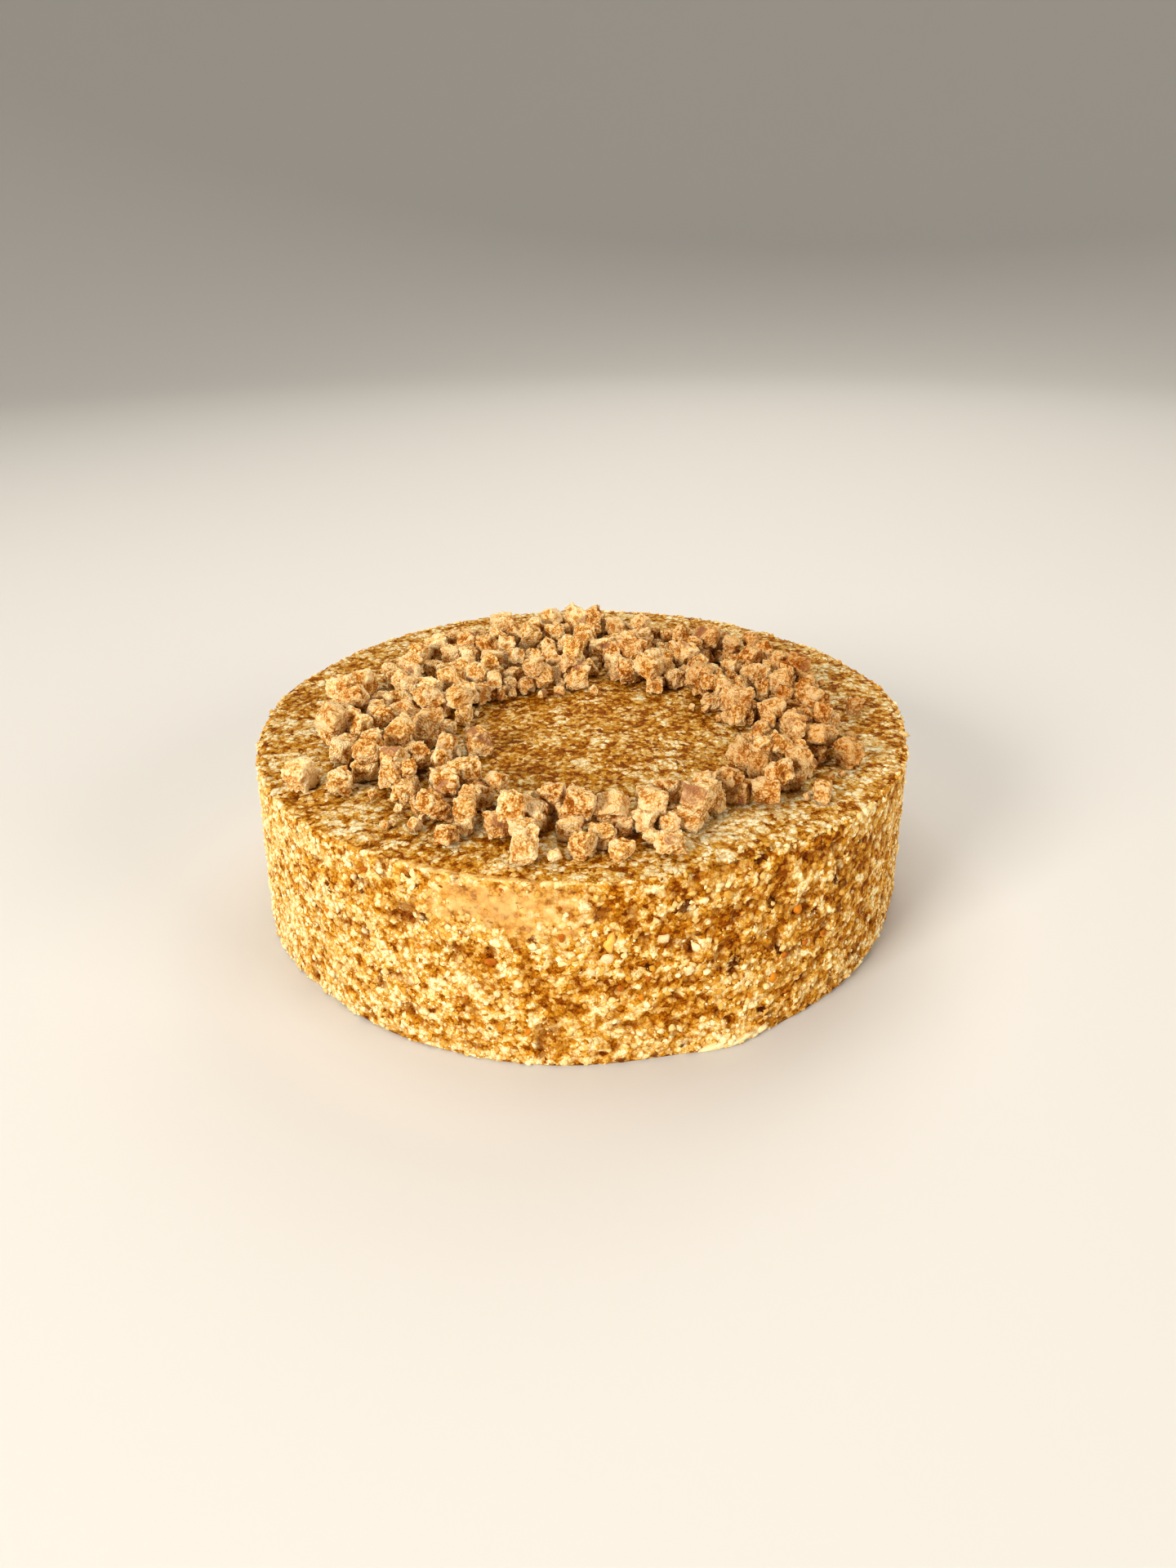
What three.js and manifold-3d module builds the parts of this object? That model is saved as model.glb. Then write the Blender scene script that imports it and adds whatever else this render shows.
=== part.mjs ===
// Uncut round cake, coated all over in pressed ground nuts and dates, with a loose ring of
// dried-fruit dice heaped on its top and a few dice strayed from the ring.
import * as THREE from 'three';
import { mergeVertices } from 'three/addons/utils/BufferGeometryUtils.js';
import Module from 'manifold-3d';

// Driving dimensions of the cake, in millimetres.
const TOP_RADIUS = 90;
const FOOT_RADIUS = 91.5;
const CAKE_HEIGHT = 49;
const RIM_ROUNDING = 1.3;
const FOOT_ROUNDING = 1.0;

// Fineness of the cake's surface, and the depth of the crumb pressed into its wall and its top.
const SEGMENTS = 104;
const WALL_ROWS = 8;
const TOP_RINGS = [0.93, 0.86, 0.72, 0.46, 0.22];
const BASE_RING = 0.6;
const WALL_CRUMB = 0.7;
const TOP_CRUMB = 0.45;
const CRUMB_SEED = 611;

// The wall leans in at the left, the rim is worn soft on one stretch, and the crust is squeezed out in
// a lip at one stretch of the foot. Bearings are in radians round from +X.
const LEAN = { bearing: 2.75, spread: 0.9, reach: 1.1 };
const WORN_RIM = { bearing: -1.08, spread: 0.2, depth: 1.5 };
const FOOT_LIP = { bearing: -1.2, spread: 0.085, reach: 1.1, height: 2.4 };

// Slow waves round the wall: their swing, the number of them, where they start and how they drift upwards.
const WALL_WAVES = [
  { swing: 0.35, lobes: 3, start: 0.7, drift: 1.1 },
  { swing: 0.25, lobes: 7, start: 2.1, drift: -2.0 },
  { swing: 0.18, lobes: 13, start: 4.0, drift: 3.0 },
];

// The ring of dice lies between two circles that do not share a centre, so it is broad at the back.
const HOLE = { x: 4, y: -22, radius: 36 };
const RING = { x: 0, y: -7, radius: 71 };
const RING_SEED = 2718;
const DICE_COUNT = 240;
const DICE_SIZE = 5.8;
const DICE_SPREAD = 0.28;
const HEAP_LIMIT = 8.5;
const NESTING = 0.82;
const TRIES = 5;
const CORE_INSET = 4.2;
const CORE_HEIGHT = 2.4;
const CORE_STEPS = 24;
const GAP = 0.3;

// Stray dice: place on the top and mean edge.
const STRAY_SEED = 2027;
const STRAYS = [
  { x: -68.7, y: -44.2, size: 6.8 },
  { x: -58.2, y: -48.0, size: 5.6 },
  { x: -29.8, y: -73.5, size: 4.8 },
  { x: -12.3, y: -80.5, size: 6.8 },
  { x: 0.1, y: -78.5, size: 5.2 },
  { x: 8.2, y: -80.0, size: 4.0 },
  { x: 19.0, y: -78.0, size: 5.2 },
  { x: 56.9, y: -55.4, size: 5.0 },
  { x: 67.3, y: -36.9, size: 6.4 },
  { x: 76.4, y: -5.0, size: 4.6 },
  { x: -26.9, y: -26.6, size: 6.6 },
];

// Shape of one die: how far its edges and corners stray from a true cube, and its largest tilt in radians.
const EDGE_UNEVEN = 0.18;
const CORNER_PINCH = 0.32;
const FLAT_TILT = 0.2;
const LOOSE_TILT = 0.8;

const CRUMB_FINISH = { color: 0xb98a4a, roughness: 0.8, metalness: 0 };
const FRUIT_FINISH = { color: 0xc99356, roughness: 0.85, metalness: 0 };

const SAME_POINT = 1e-4;

const wasm = await Module();
wasm.setup();

// Repeatable draws between 0 and 1 from a multiplicative generator.
function seededDraw(seed) {
  const multiplier = 16807;
  const modulus = 2147483647;
  let state = seed;
  return () => {
    state = (state * multiplier) % modulus;
    return state / modulus;
  };
}

// Smooth hump of height 1 about a bearing round the cake.
function hump(bearing, { bearing: centre, spread }) {
  const turn = Math.atan2(Math.sin(bearing - centre), Math.cos(bearing - centre));
  return Math.exp(-((turn / spread) ** 2));
}

// How far the pressed wall is out of round: a lean on one side and the slow waves.
function wallWave(bearing, height) {
  const rise = height / CAKE_HEIGHT;
  let offset = LEAN.reach * (1 - 2 * rise) * hump(bearing, LEAN);
  for (const wave of WALL_WAVES) {
    offset += wave.swing * Math.sin(wave.lobes * bearing + wave.start + wave.drift * rise);
  }
  return offset;
}

// Half of the cake's section, from the middle of the base round to the middle of the top.
function cakeProfile() {
  const profile = [];
  const add = (radius, height, zone) => profile.push({ radius, height, zone });
  const highest = CAKE_HEIGHT - RIM_ROUNDING;
  const wallRadius = (height) => THREE.MathUtils.lerp(FOOT_RADIUS, TOP_RADIUS, height / CAKE_HEIGHT);
  add(0, 0, 'base');
  add(BASE_RING * FOOT_RADIUS, 0, 'base');
  add(FOOT_RADIUS - FOOT_ROUNDING - WALL_CRUMB, 0, 'base');
  add(wallRadius(FOOT_ROUNDING), FOOT_ROUNDING, 'foot');
  add(wallRadius(FOOT_LIP.height), FOOT_LIP.height, 'foot');
  for (let row = 1; row <= WALL_ROWS; row += 1) {
    const height = THREE.MathUtils.lerp(FOOT_LIP.height, highest, row / WALL_ROWS);
    add(wallRadius(height), height, 'wall');
  }
  const turn = RIM_ROUNDING * (1 - Math.SQRT1_2);
  add(TOP_RADIUS - turn, CAKE_HEIGHT - turn, 'rim');
  add(TOP_RADIUS - RIM_ROUNDING, CAKE_HEIGHT, 'rim');
  for (const share of TOP_RINGS) {
    add(share * TOP_RADIUS, CAKE_HEIGHT, 'top');
  }
  add(0, CAKE_HEIGHT, 'axis');
  return profile;
}

// Where one point of the profile goes at a bearing, with a crumb pressed in by a share of its depth.
function pressedPoint({ radius, height, zone }, bearing, grain) {
  const rim = zone === 'rim';
  const wear = rim ? WORN_RIM.depth * hump(bearing, WORN_RIM) : 0;
  const lip = zone === 'foot' ? FOOT_LIP.reach * hump(bearing, FOOT_LIP) : 0;
  const upright = rim || zone === 'foot' || zone === 'wall';
  const level = rim || zone === 'top';
  return {
    radius: radius + lip - wear + (upright ? wallWave(bearing, height) - WALL_CRUMB * grain : 0),
    height: height - wear - (level ? TOP_CRUMB * grain : 0),
  };
}

// The cake is one solid: a turned profile whose wall and top carry the crumb as small crags.
function cakeGeometry() {
  const profile = cakeProfile();
  const outline = profile.map((point) => new THREE.Vector2(point.radius, point.height));
  const geometry = new THREE.LatheGeometry(outline, SEGMENTS);
  geometry.rotateX(Math.PI / 2);
  const grains = Array.from({ length: SEGMENTS * profile.length }, seededDraw(CRUMB_SEED));
  const position = geometry.attributes.position;
  for (let column = 0; column <= SEGMENTS; column += 1) {
    const turn = column % SEGMENTS;
    const bearing = 2 * Math.PI * turn / SEGMENTS;
    profile.forEach((point, row) => {
      const { radius, height } = pressedPoint(point, bearing, grains[turn * profile.length + row]);
      const k = column * profile.length + row;
      position.setXYZ(k, radius * Math.cos(bearing), radius * Math.sin(bearing), height);
    });
  }
  return geometry;
}

// One die: a box of uneven edges whose eight corners are drawn in, turned about and tilted.
function dieFrom(draw, size, tiltLimit) {
  const half = new THREE.Vector3();
  for (let axis = 0; axis < 3; axis += 1) {
    half.setComponent(axis, 0.5 * size * (1 + EDGE_UNEVEN * (2 * draw() - 1)));
  }
  const corners = [];
  for (let corner = 0; corner < 8; corner += 1) {
    const pinch = 1 - CORNER_PINCH * draw();
    const side = (axis) => (corner & (1 << axis) ? pinch : -pinch);
    corners.push(new THREE.Vector3(side(0) * half.x, side(1) * half.y, side(2) * half.z));
  }
  const turn = new THREE.Matrix4().makeRotationZ(2 * Math.PI * draw());
  turn.multiply(new THREE.Matrix4().makeRotationX(tiltLimit * draw()));
  turn.multiply(new THREE.Matrix4().makeRotationZ(2 * Math.PI * draw()));
  corners.forEach((corner) => corner.applyMatrix4(turn));
  const depth = -Math.min(...corners.map((corner) => corner.z));
  return { size, corners, depth };
}

function dieGeometry(die) {
  const geometry = new THREE.BoxGeometry(2, 2, 2);
  const position = geometry.attributes.position;
  for (let k = 0; k < position.count; k += 1) {
    const right = position.getX(k) > 0 ? 1 : 0;
    const back = position.getY(k) > 0 ? 2 : 0;
    const upper = position.getZ(k) > 0 ? 4 : 0;
    const corner = die.corners[right + back + upper];
    position.setXYZ(k, corner.x, corner.y, corner.z);
  }
  return geometry.translate(die.x, die.y, CAKE_HEIGHT + GAP + die.z);
}

// How far a die reaches from its centre along a level direction.
function reachAlong(die, x, y) {
  return Math.max(...die.corners.map((corner) => corner.x * x + corner.y * y));
}

// Two dice are apart when a gap shows between them along the level line through their centres.
function apart(one, other) {
  const x = other.x - one.x;
  const y = other.y - one.y;
  const away = Math.hypot(x, y);
  return reachAlong(one, x / away, y / away) + reachAlong(other, -x / away, -y / away) + GAP < away;
}

// Stray dice lie on the top, each on its lowest corner or face.
function strayDice() {
  const draw = seededDraw(STRAY_SEED);
  return STRAYS.map((stray) => {
    const die = dieFrom(draw, stray.size, FLAT_TILT);
    return { ...die, x: stray.x, y: stray.y, z: die.depth };
  });
}

// Height at which a die of this size comes to rest at a place, on the top or on dice that lie there.
function restingHeight(dice, size, x, y) {
  let height = 0.5 * size;
  for (const other of dice) {
    const reach = 0.5 * NESTING * (size + other.size);
    const away = Math.hypot(x - other.x, y - other.y);
    if (away < reach) {
      height = Math.max(height, other.z + Math.sqrt(reach ** 2 - away ** 2));
    }
  }
  return height;
}

// The ring's dice are dropped one by one, each at the lowest of a few places, clear of the strays.
function ringDice(strays) {
  const draw = seededDraw(RING_SEED);
  const dice = [];
  while (dice.length < DICE_COUNT) {
    const size = DICE_SIZE * (1 + DICE_SPREAD * (2 * draw() - 1));
    let best = { z: HEAP_LIMIT };
    for (let attempt = 0; attempt < TRIES; attempt += 1) {
      const x = RING.x + RING.radius * (2 * draw() - 1);
      const y = RING.y + RING.radius * (2 * draw() - 1);
      const within = Math.hypot(x - RING.x, y - RING.y) < RING.radius - 0.5 * size;
      const beyond = Math.hypot(x - HOLE.x, y - HOLE.y) > HOLE.radius + 0.5 * size;
      const z = restingHeight(dice, size, x, y);
      if (within && beyond && z < best.z) {
        best = { x, y, z };
      }
    }
    const raised = best.z > 0.5 * size;
    const die = { ...dieFrom(draw, size, raised ? LOOSE_TILT : FLAT_TILT), ...best };
    die.z = Math.max(raised ? best.z : 0, die.depth);
    if (best.z < HEAP_LIMIT && strays.every((other) => apart(die, other))) {
      dice.push(die);
    }
  }
  return dice;
}

// A low core under the heap, which every die of the ring is joined to.
function coreGeometry() {
  const outline = new THREE.Shape();
  outline.absarc(RING.x, RING.y, RING.radius - CORE_INSET, 0, 2 * Math.PI);
  const hole = new THREE.Path();
  hole.absarc(HOLE.x, HOLE.y, HOLE.radius + CORE_INSET, 0, 2 * Math.PI, true);
  outline.holes.push(hole);
  const slab = { depth: CORE_HEIGHT, bevelEnabled: false, curveSegments: CORE_STEPS };
  return new THREE.ExtrudeGeometry(outline, slab).translate(0, 0, CAKE_HEIGHT + GAP);
}

function solidFrom(geometry) {
  const bare = geometry.clone();
  bare.deleteAttribute('normal');
  bare.deleteAttribute('uv');
  const merged = mergeVertices(bare, SAME_POINT);
  const vertProperties = new Float32Array(merged.attributes.position.array);
  const triVerts = new Uint32Array(merged.index.array);
  return new wasm.Manifold(new wasm.Mesh({ numProp: 3, vertProperties, triVerts }));
}

function geometryFrom(solid) {
  const mesh = solid.getMesh();
  const geometry = new THREE.BufferGeometry();
  geometry.setAttribute('position', new THREE.BufferAttribute(mesh.vertProperties, 3));
  geometry.setIndex(new THREE.BufferAttribute(mesh.triVerts, 1));
  geometry.computeVertexNormals();
  return geometry;
}

// The heap is the core and its dice in one body.
function ringGeometry(dice) {
  let heap = solidFrom(coreGeometry());
  for (const die of dice) {
    heap = heap.add(solidFrom(dieGeometry(die)));
  }
  return geometryFrom(heap);
}

function piece(name, geometry, finish) {
  const mesh = new THREE.Mesh(geometry, new THREE.MeshStandardMaterial(finish));
  mesh.name = name;
  return mesh;
}

const strays = strayDice();
const dice = ringDice(strays);

const cake = new THREE.Group();
cake.add(piece('crumb_cake', cakeGeometry(), CRUMB_FINISH));
cake.add(piece('dried_fruit_ring', ringGeometry(dice), FRUIT_FINISH));
strays.forEach((die, k) => {
  cake.add(piece(`dried_fruit_die_${k + 1}`, dieGeometry(die), FRUIT_FINISH));
});

export default cake;
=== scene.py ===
import bpy
import numpy as np
from mathutils import Matrix, Vector


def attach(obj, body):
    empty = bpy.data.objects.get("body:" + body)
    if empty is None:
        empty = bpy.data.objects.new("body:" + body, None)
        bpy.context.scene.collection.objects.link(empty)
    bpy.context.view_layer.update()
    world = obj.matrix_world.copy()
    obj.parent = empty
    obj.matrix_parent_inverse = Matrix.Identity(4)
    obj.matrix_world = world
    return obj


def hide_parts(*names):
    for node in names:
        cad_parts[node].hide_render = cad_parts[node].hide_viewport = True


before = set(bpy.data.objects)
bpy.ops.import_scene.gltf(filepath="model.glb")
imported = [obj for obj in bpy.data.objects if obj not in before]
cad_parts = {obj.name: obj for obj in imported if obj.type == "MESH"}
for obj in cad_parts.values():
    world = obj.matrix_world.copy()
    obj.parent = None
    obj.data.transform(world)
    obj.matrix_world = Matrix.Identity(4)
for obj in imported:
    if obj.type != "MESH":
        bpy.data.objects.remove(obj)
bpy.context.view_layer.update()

# The studio: a pale seamless floor that sweeps up all round, a large soft light at the front left, weaker
# ones at the right and behind, and a wide one overhead. The camera is where the photograph was taken.
MM = 0.001
PHOTO_HEIGHT = 1920
FOCAL_PIXELS = 1280.0
SENSOR_HEIGHT = 36.0
CAMERA_PLACE = np.array([0.0, -272.7, 168.0])
CAMERA_PITCH = 0.483
CAMERA_YAW = 0.007
CAMERA_ROLL = -0.013
NEAREST_SEEN = 10.0
FLOOR_MIDDLE = 300.0
FLOOR_RADIUS = 1250.0
SWEEP_RADIUS = 1250.0
SWEEP_ROWS = 24
FLOOR_COLUMNS = 96
FLOOR_COLOUR = (0.58, 0.56, 0.53, 1.0)
FLOOR_ROUGHNESS = 0.7
SKY_COLOUR = (1.0, 0.97, 0.93, 1.0)
SKY_STRENGTH = 0.11
LIGHT_COLOUR = (1.0, 0.955, 0.88)
LIGHTS = {
    "key_light": {"place": (-1070.0, -1120.0, 700.0), "width": 560.0, "watts": 37.2},
    "fill_light": {"place": (1120.0, -700.0, 520.0), "width": 640.0, "watts": 13.5},
    "back_light": {"place": (300.0, 1000.0, 1000.0), "width": 840.0, "watts": 9.0},
    "top_light": {"place": (-250.0, 150.0, 1100.0), "width": 700.0, "watts": 6.5},
}
LIGHT_AIM = Vector((0.0, 0.0, 30.0)) * MM

bpy.context.scene.view_settings.view_transform = "Standard"

sight = np.array([
    np.sin(CAMERA_YAW) * np.cos(CAMERA_PITCH),
    np.cos(CAMERA_YAW) * np.cos(CAMERA_PITCH),
    -np.sin(CAMERA_PITCH),
])
level = np.array([np.cos(CAMERA_YAW), -np.sin(CAMERA_YAW), 0.0])
upright = np.cross(level, sight)
rolled = np.cos(CAMERA_ROLL) * level + np.sin(CAMERA_ROLL) * upright
rolled_up = np.cos(CAMERA_ROLL) * upright - np.sin(CAMERA_ROLL) * level
camera_pose = np.eye(4)
camera_pose[:3] = np.column_stack([rolled, rolled_up, -sight, CAMERA_PLACE * MM])
lens = bpy.data.cameras.new("camera")
lens.sensor_fit = "VERTICAL"
lens.sensor_height = SENSOR_HEIGHT
lens.lens = SENSOR_HEIGHT * FOCAL_PIXELS / PHOTO_HEIGHT
lens.clip_start = NEAREST_SEEN * MM
camera = bpy.data.objects.new("camera", lens)
camera.matrix_world = Matrix(camera_pose.tolist())
bpy.context.scene.collection.objects.link(camera)
bpy.context.scene.camera = camera

for light_name, light in LIGHTS.items():
    lamp = bpy.data.lights.new(light_name, "AREA")
    lamp.size = light["width"] * MM
    lamp.energy = light["watts"]
    lamp.color = LIGHT_COLOUR
    holder = bpy.data.objects.new(light_name, lamp)
    holder.location = Vector(light["place"]) * MM
    holder.rotation_euler = (LIGHT_AIM - holder.location).to_track_quat("-Z", "Y").to_euler()
    bpy.context.scene.collection.objects.link(holder)

sky = bpy.data.worlds.new("studio_sky")
sky.use_nodes = True
sky.node_tree.nodes["Background"].inputs["Color"].default_value = SKY_COLOUR
sky.node_tree.nodes["Background"].inputs["Strength"].default_value = SKY_STRENGTH
bpy.context.scene.world = sky


def turned_surface(radii, heights, bearings):
    """Surface of turning: row r, column c lies at that radius and height on that bearing, and each end
    row is closed by a fan to the mean of its row on the axis."""
    rows, columns = radii.shape
    rings = np.stack([radii * np.cos(bearings), radii * np.sin(bearings), heights], axis=-1).reshape(-1, 3)
    ends = np.array([[0.0, 0.0, heights[0].mean()], [0.0, 0.0, heights[-1].mean()]])
    number = np.arange(rows * columns).reshape(rows, columns)
    after = np.roll(number, -1, axis=1)
    squares = np.stack([number[:-1], after[:-1], after[1:], number[1:]], axis=-1).reshape(-1, 4)
    first, last = np.full(columns, rows * columns), np.full(columns, rows * columns + 1)
    fans = np.concatenate([
        np.column_stack([first, after[0], number[0]]),
        np.column_stack([last, number[-1], after[-1]]),
    ])
    return np.concatenate([rings, ends]), squares.tolist() + fans.tolist()


sweep = np.linspace(0.0, np.pi / 2, SWEEP_ROWS)[1:]
floor_radius = np.concatenate([[FLOOR_MIDDLE, FLOOR_RADIUS], FLOOR_RADIUS + SWEEP_RADIUS * np.sin(sweep)])
floor_rise = np.concatenate([[0.0, 0.0], SWEEP_RADIUS * (1.0 - np.cos(sweep))])
floor_turn = np.linspace(0.0, 2 * np.pi, FLOOR_COLUMNS, endpoint=False)
floor_grid = np.broadcast_to(floor_radius[:, None], (len(floor_radius), FLOOR_COLUMNS))
floor_level = np.broadcast_to(floor_rise[:, None], floor_grid.shape)
floor_places, floor_faces = turned_surface(floor_grid, floor_level, floor_turn)
floor_open = [face[::-1] for face in floor_faces[:-FLOOR_COLUMNS]]
floor_mesh = bpy.data.meshes.new("floor")
floor_mesh.from_pydata((floor_places * MM).tolist(), [], floor_open)
floor_mesh.polygons.foreach_set("use_smooth", np.ones(len(floor_mesh.polygons), bool))
floor_finish = bpy.data.materials.new("floor_paper")
floor_finish.use_nodes = True
floor_shader = floor_finish.node_tree.nodes["Principled BSDF"]
floor_shader.inputs["Base Color"].default_value = FLOOR_COLOUR
floor_shader.inputs["Roughness"].default_value = FLOOR_ROUGHNESS
floor_mesh.materials.append(floor_finish)
floor = bpy.data.objects.new("floor", floor_mesh)
bpy.context.scene.collection.objects.link(floor)

# Wall of the cake: a crust of ground nuts bound with date paste, pressed by hand against a ring tin, so
# that it is nearly upright, with lumps, pits, a smeared smooth patch and a squeezed-out foot.
TOP_RADIUS = 90.0
FOOT_RADIUS = 91.5
CAKE_HEIGHT = 49.0
RIM_ROUNDING = 0.9
FOOT_ROUNDING = 1.0
FRONT = -np.pi / 2
RIGHT_SIDE = -0.55
LEAN = {"bearing": 2.75, "spread": 0.9, "reach": 1.1}
WORN_RIM = {"bearing": -1.08, "spread": 0.2, "depth": 1.5, "below": 5.0, "within": 6.0}
FOOT_LIP = {"bearing": -1.2, "spread": 0.085, "reach": 1.1, "height": 2.4, "fade": 1.0}
WALL_WAVES = [(0.35, 3, 0.7, 1.1), (0.25, 7, 2.1, -2.0), (0.18, 13, 4.0, 3.0)]
SMOOTH_PATCH = {"bearing": -1.76, "spread": 0.25, "height": 42.0, "reach": 9.0}
SMOOTH_SHARE = {"middle": 1.55, "fall": 0.75, "most": 0.85}
CRISP_RIM = {"bearing": -1.82, "spread": 0.22, "below": 1.2, "firm": 1.8, "smooth": 0.45}
PALE_LIP = {"rise": 1.6, "spread": 0.12, "gain": 0.8}
WALL_MIX = {"up": 0.26, "level": 0.55, "round": 0.72, "middle": 0.80, "least": -0.06, "most": 0.38}
DATE_GAIN = 0.65
# Each spot: degrees round from the front, height, half width and half height.
DATE_PATCHES = [
    (13, 16, 4, 2), (10, 13, 4, 2), (2, 21, 2, 2), (-7, 20, 2.5, 2), (-5, 15, 4, 1.5), (-3, 35, 2, 1.5),
    (7, 28, 2.5, 1.5), (9, 22, 2, 1.5), (5, 20, 2, 1.5), (4, 41, 2.5, 2), (6, 40, 2.5, 2), (21, 29, 3, 2),
    (33, 31, 2.5, 2), (43, 33, 2, 2.5), (42, 26, 1.5, 2.5), (32, 20, 2, 2), (28, 24, 2, 2), (37, 44, 2.5, 2),
    (51, 29, 2, 2.5), (39, 21, 2, 2), (-33, 44, 2, 1.5), (-43, 28, 2, 2), (-39, 45, 2, 2), (-28, 43, 2, 1.5),
    (-46, 35, 1.5, 2), (-13, 28, 2, 1.5), (-27, 31, 2, 1.5), (-26, 28, 2, 1.5),
]
DARK_SPOTS = [
    (22, 23, 2, 2.2), (26, 47, 1.4, 1), (28, 35, 1.4, 1.7), (14, 40, 2.2, 1.8), (30, 22, 1.1, 1.3),
    (41, 34, 1.1, 1.4), (27, 7, 1.2, 1.1), (-7, 35, 1.1, 1), (9, 26, 1, 1), (-23, 36, 1.2, 1.1),
    (-41, 35, 1.1, 1.3), (47, 41, 1.2, 1),
]
# Each noise or size of lump: weight, width and seed.
RAGGED_NOISES = [(1.0, 7.0, 71), (0.7, 2.4, 72)]
SMEAR_NOISES = [(0.3, 2.2, 51)]
SMEAR_DEPTH = 0.15
NUT_NOISES = [(0.27, 4.6, 61), (0.40, 2.4, 62), (0.33, 1.3, 63)]
NUT_FLATTENING = np.array([1.0, 1.0, 1.25])
NUT_FROM = 0.36
NUT_RANGE = 0.28
LOWEST_LUMP = 0.25
CELL_PRIMES = (73856093, 19349663, 83492791)
SEED_PRIME = 50331653
DRAW_MIXES = ((15, 2246822519), (13, 3266489917))
DRAW_BITS = 0xFFFFFF
WALL_CRUMB = {
    "depth": 0.9,
    "lumps": [(0.5, 2.7, 31), (0.42, 1.35, 41)],
    "nut_rise": 0.35,
    "pits": {"width": 3.4, "seed": 21, "from": 0.66, "depth": 3.0},
}
WALL_DEEP = 0.8
WALL_COLUMNS = 1040
WALL_ROWS = 82
ROUND_ROWS = 6
CAP_RINGS = ((2.6, 1.1), (10.0, 2.4))
BUMP_STRENGTH = 0.8


def turn_from(bearing, centre):
    """Turn from one bearing to another, the shorter way round."""
    return np.angle(np.exp(1j * (bearing - centre)))


def hump(bearing, centre, spread):
    """Bell curve of height 1 about a bearing, of the turn from it over the spread."""
    return np.exp(-((turn_from(bearing, centre) / spread) ** 2))


def stretch_share(bearing, stretch):
    """Share of a stretch of the wall or the rim: the bell curve about its bearing, over its spread."""
    return hump(bearing, stretch["bearing"], stretch["spread"])


def wall_radius(bearing, height):
    """Radius of the pressed wall: a taper from foot to top, a lean on one side, slow waves, a rim drawn
    in where it is worn, and a lip squeezed out at one stretch of the foot."""
    rise = height / CAKE_HEIGHT
    radius = FOOT_RADIUS + (TOP_RADIUS - FOOT_RADIUS) * rise
    radius = radius + LEAN["reach"] * (1 - 2 * rise) * stretch_share(bearing, LEAN)
    for swell, lobes, start, drift in WALL_WAVES:
        radius = radius + swell * np.sin(lobes * bearing + start + drift * rise)
    worn = np.clip(1 - (CAKE_HEIGHT - height) / WORN_RIM["below"], 0, 1)
    radius = radius - worn * WORN_RIM["depth"] * stretch_share(bearing, WORN_RIM)
    lip = np.clip(1 - (height - FOOT_LIP["height"]) / FOOT_LIP["fade"], 0, 1)
    return radius + lip * FOOT_LIP["reach"] * stretch_share(bearing, FOOT_LIP)


def edge_turn(height):
    """Inset and tilt of the wall's section: quarter circles at the rim and the foot, upright between."""
    above = np.clip((height - CAKE_HEIGHT + RIM_ROUNDING) / RIM_ROUNDING, 0, 1)
    below = np.clip((FOOT_ROUNDING - height) / FOOT_ROUNDING, 0, 1)
    inset = RIM_ROUNDING * (1 - np.sqrt(1 - above**2)) + FOOT_ROUNDING * (1 - np.sqrt(1 - below**2))
    return inset, np.arcsin(above) - np.arcsin(below)


def wall_frame(bearing, height):
    """Places on the pressed wall, with the directions round it, up it and out of it."""
    inset, tilt = edge_turn(height)
    radius = wall_radius(bearing, height) - inset
    drop = WORN_RIM["depth"] * stretch_share(bearing, WORN_RIM)
    lowered = height - drop * np.clip((height - CAKE_HEIGHT) / RIM_ROUNDING + 1, 0, 1)
    zero = np.zeros_like(bearing)
    out = np.stack([np.cos(bearing), np.sin(bearing), zero], axis=-1)
    round_it = np.stack([-np.sin(bearing), np.cos(bearing), zero], axis=-1)
    up = np.array([0.0, 0.0, 1.0])
    lean_cos, lean_sin = np.cos(tilt)[..., None], np.sin(tilt)[..., None]
    places = out * radius[..., None] + up * lowered[..., None]
    return places, round_it, up * lean_cos - out * lean_sin, out * lean_cos + up * lean_sin


def lattice_draw(cells, seed):
    """Repeatable draw from 0 to 1 for each whole-number cell: its three numbers and the seed, each times a
    large prime, mixed by shifts and products."""
    x, y, z = (cells[..., axis] * prime for axis, prime in enumerate(CELL_PRIMES))
    draw = x ^ y ^ z ^ seed * SEED_PRIME
    for shift, product in DRAW_MIXES:
        draw = (draw ^ draw >> shift) * product
    return (draw >> 8 & DRAW_BITS) / DRAW_BITS


def soft_noise(places, cell, seed):
    """Value noise from 0 to 1: draws at the corners of cubic cells, blended smoothly between them."""
    scaled = places / cell
    base = np.floor(scaled).astype(np.int64)
    part = scaled - base
    part = part * part * (3 - 2 * part)
    total = 0.0
    for corner in np.ndindex(2, 2, 2):
        weight = np.where(np.array(corner, bool), part, 1 - part).prod(axis=-1)
        total = total + weight * lattice_draw(base + np.array(corner), seed)
    return total


def layered_noise(places, layers):
    """Sum of soft noises, each times its weight."""
    return sum(weight * soft_noise(places, width, seed) for weight, width, seed in layers)


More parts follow.
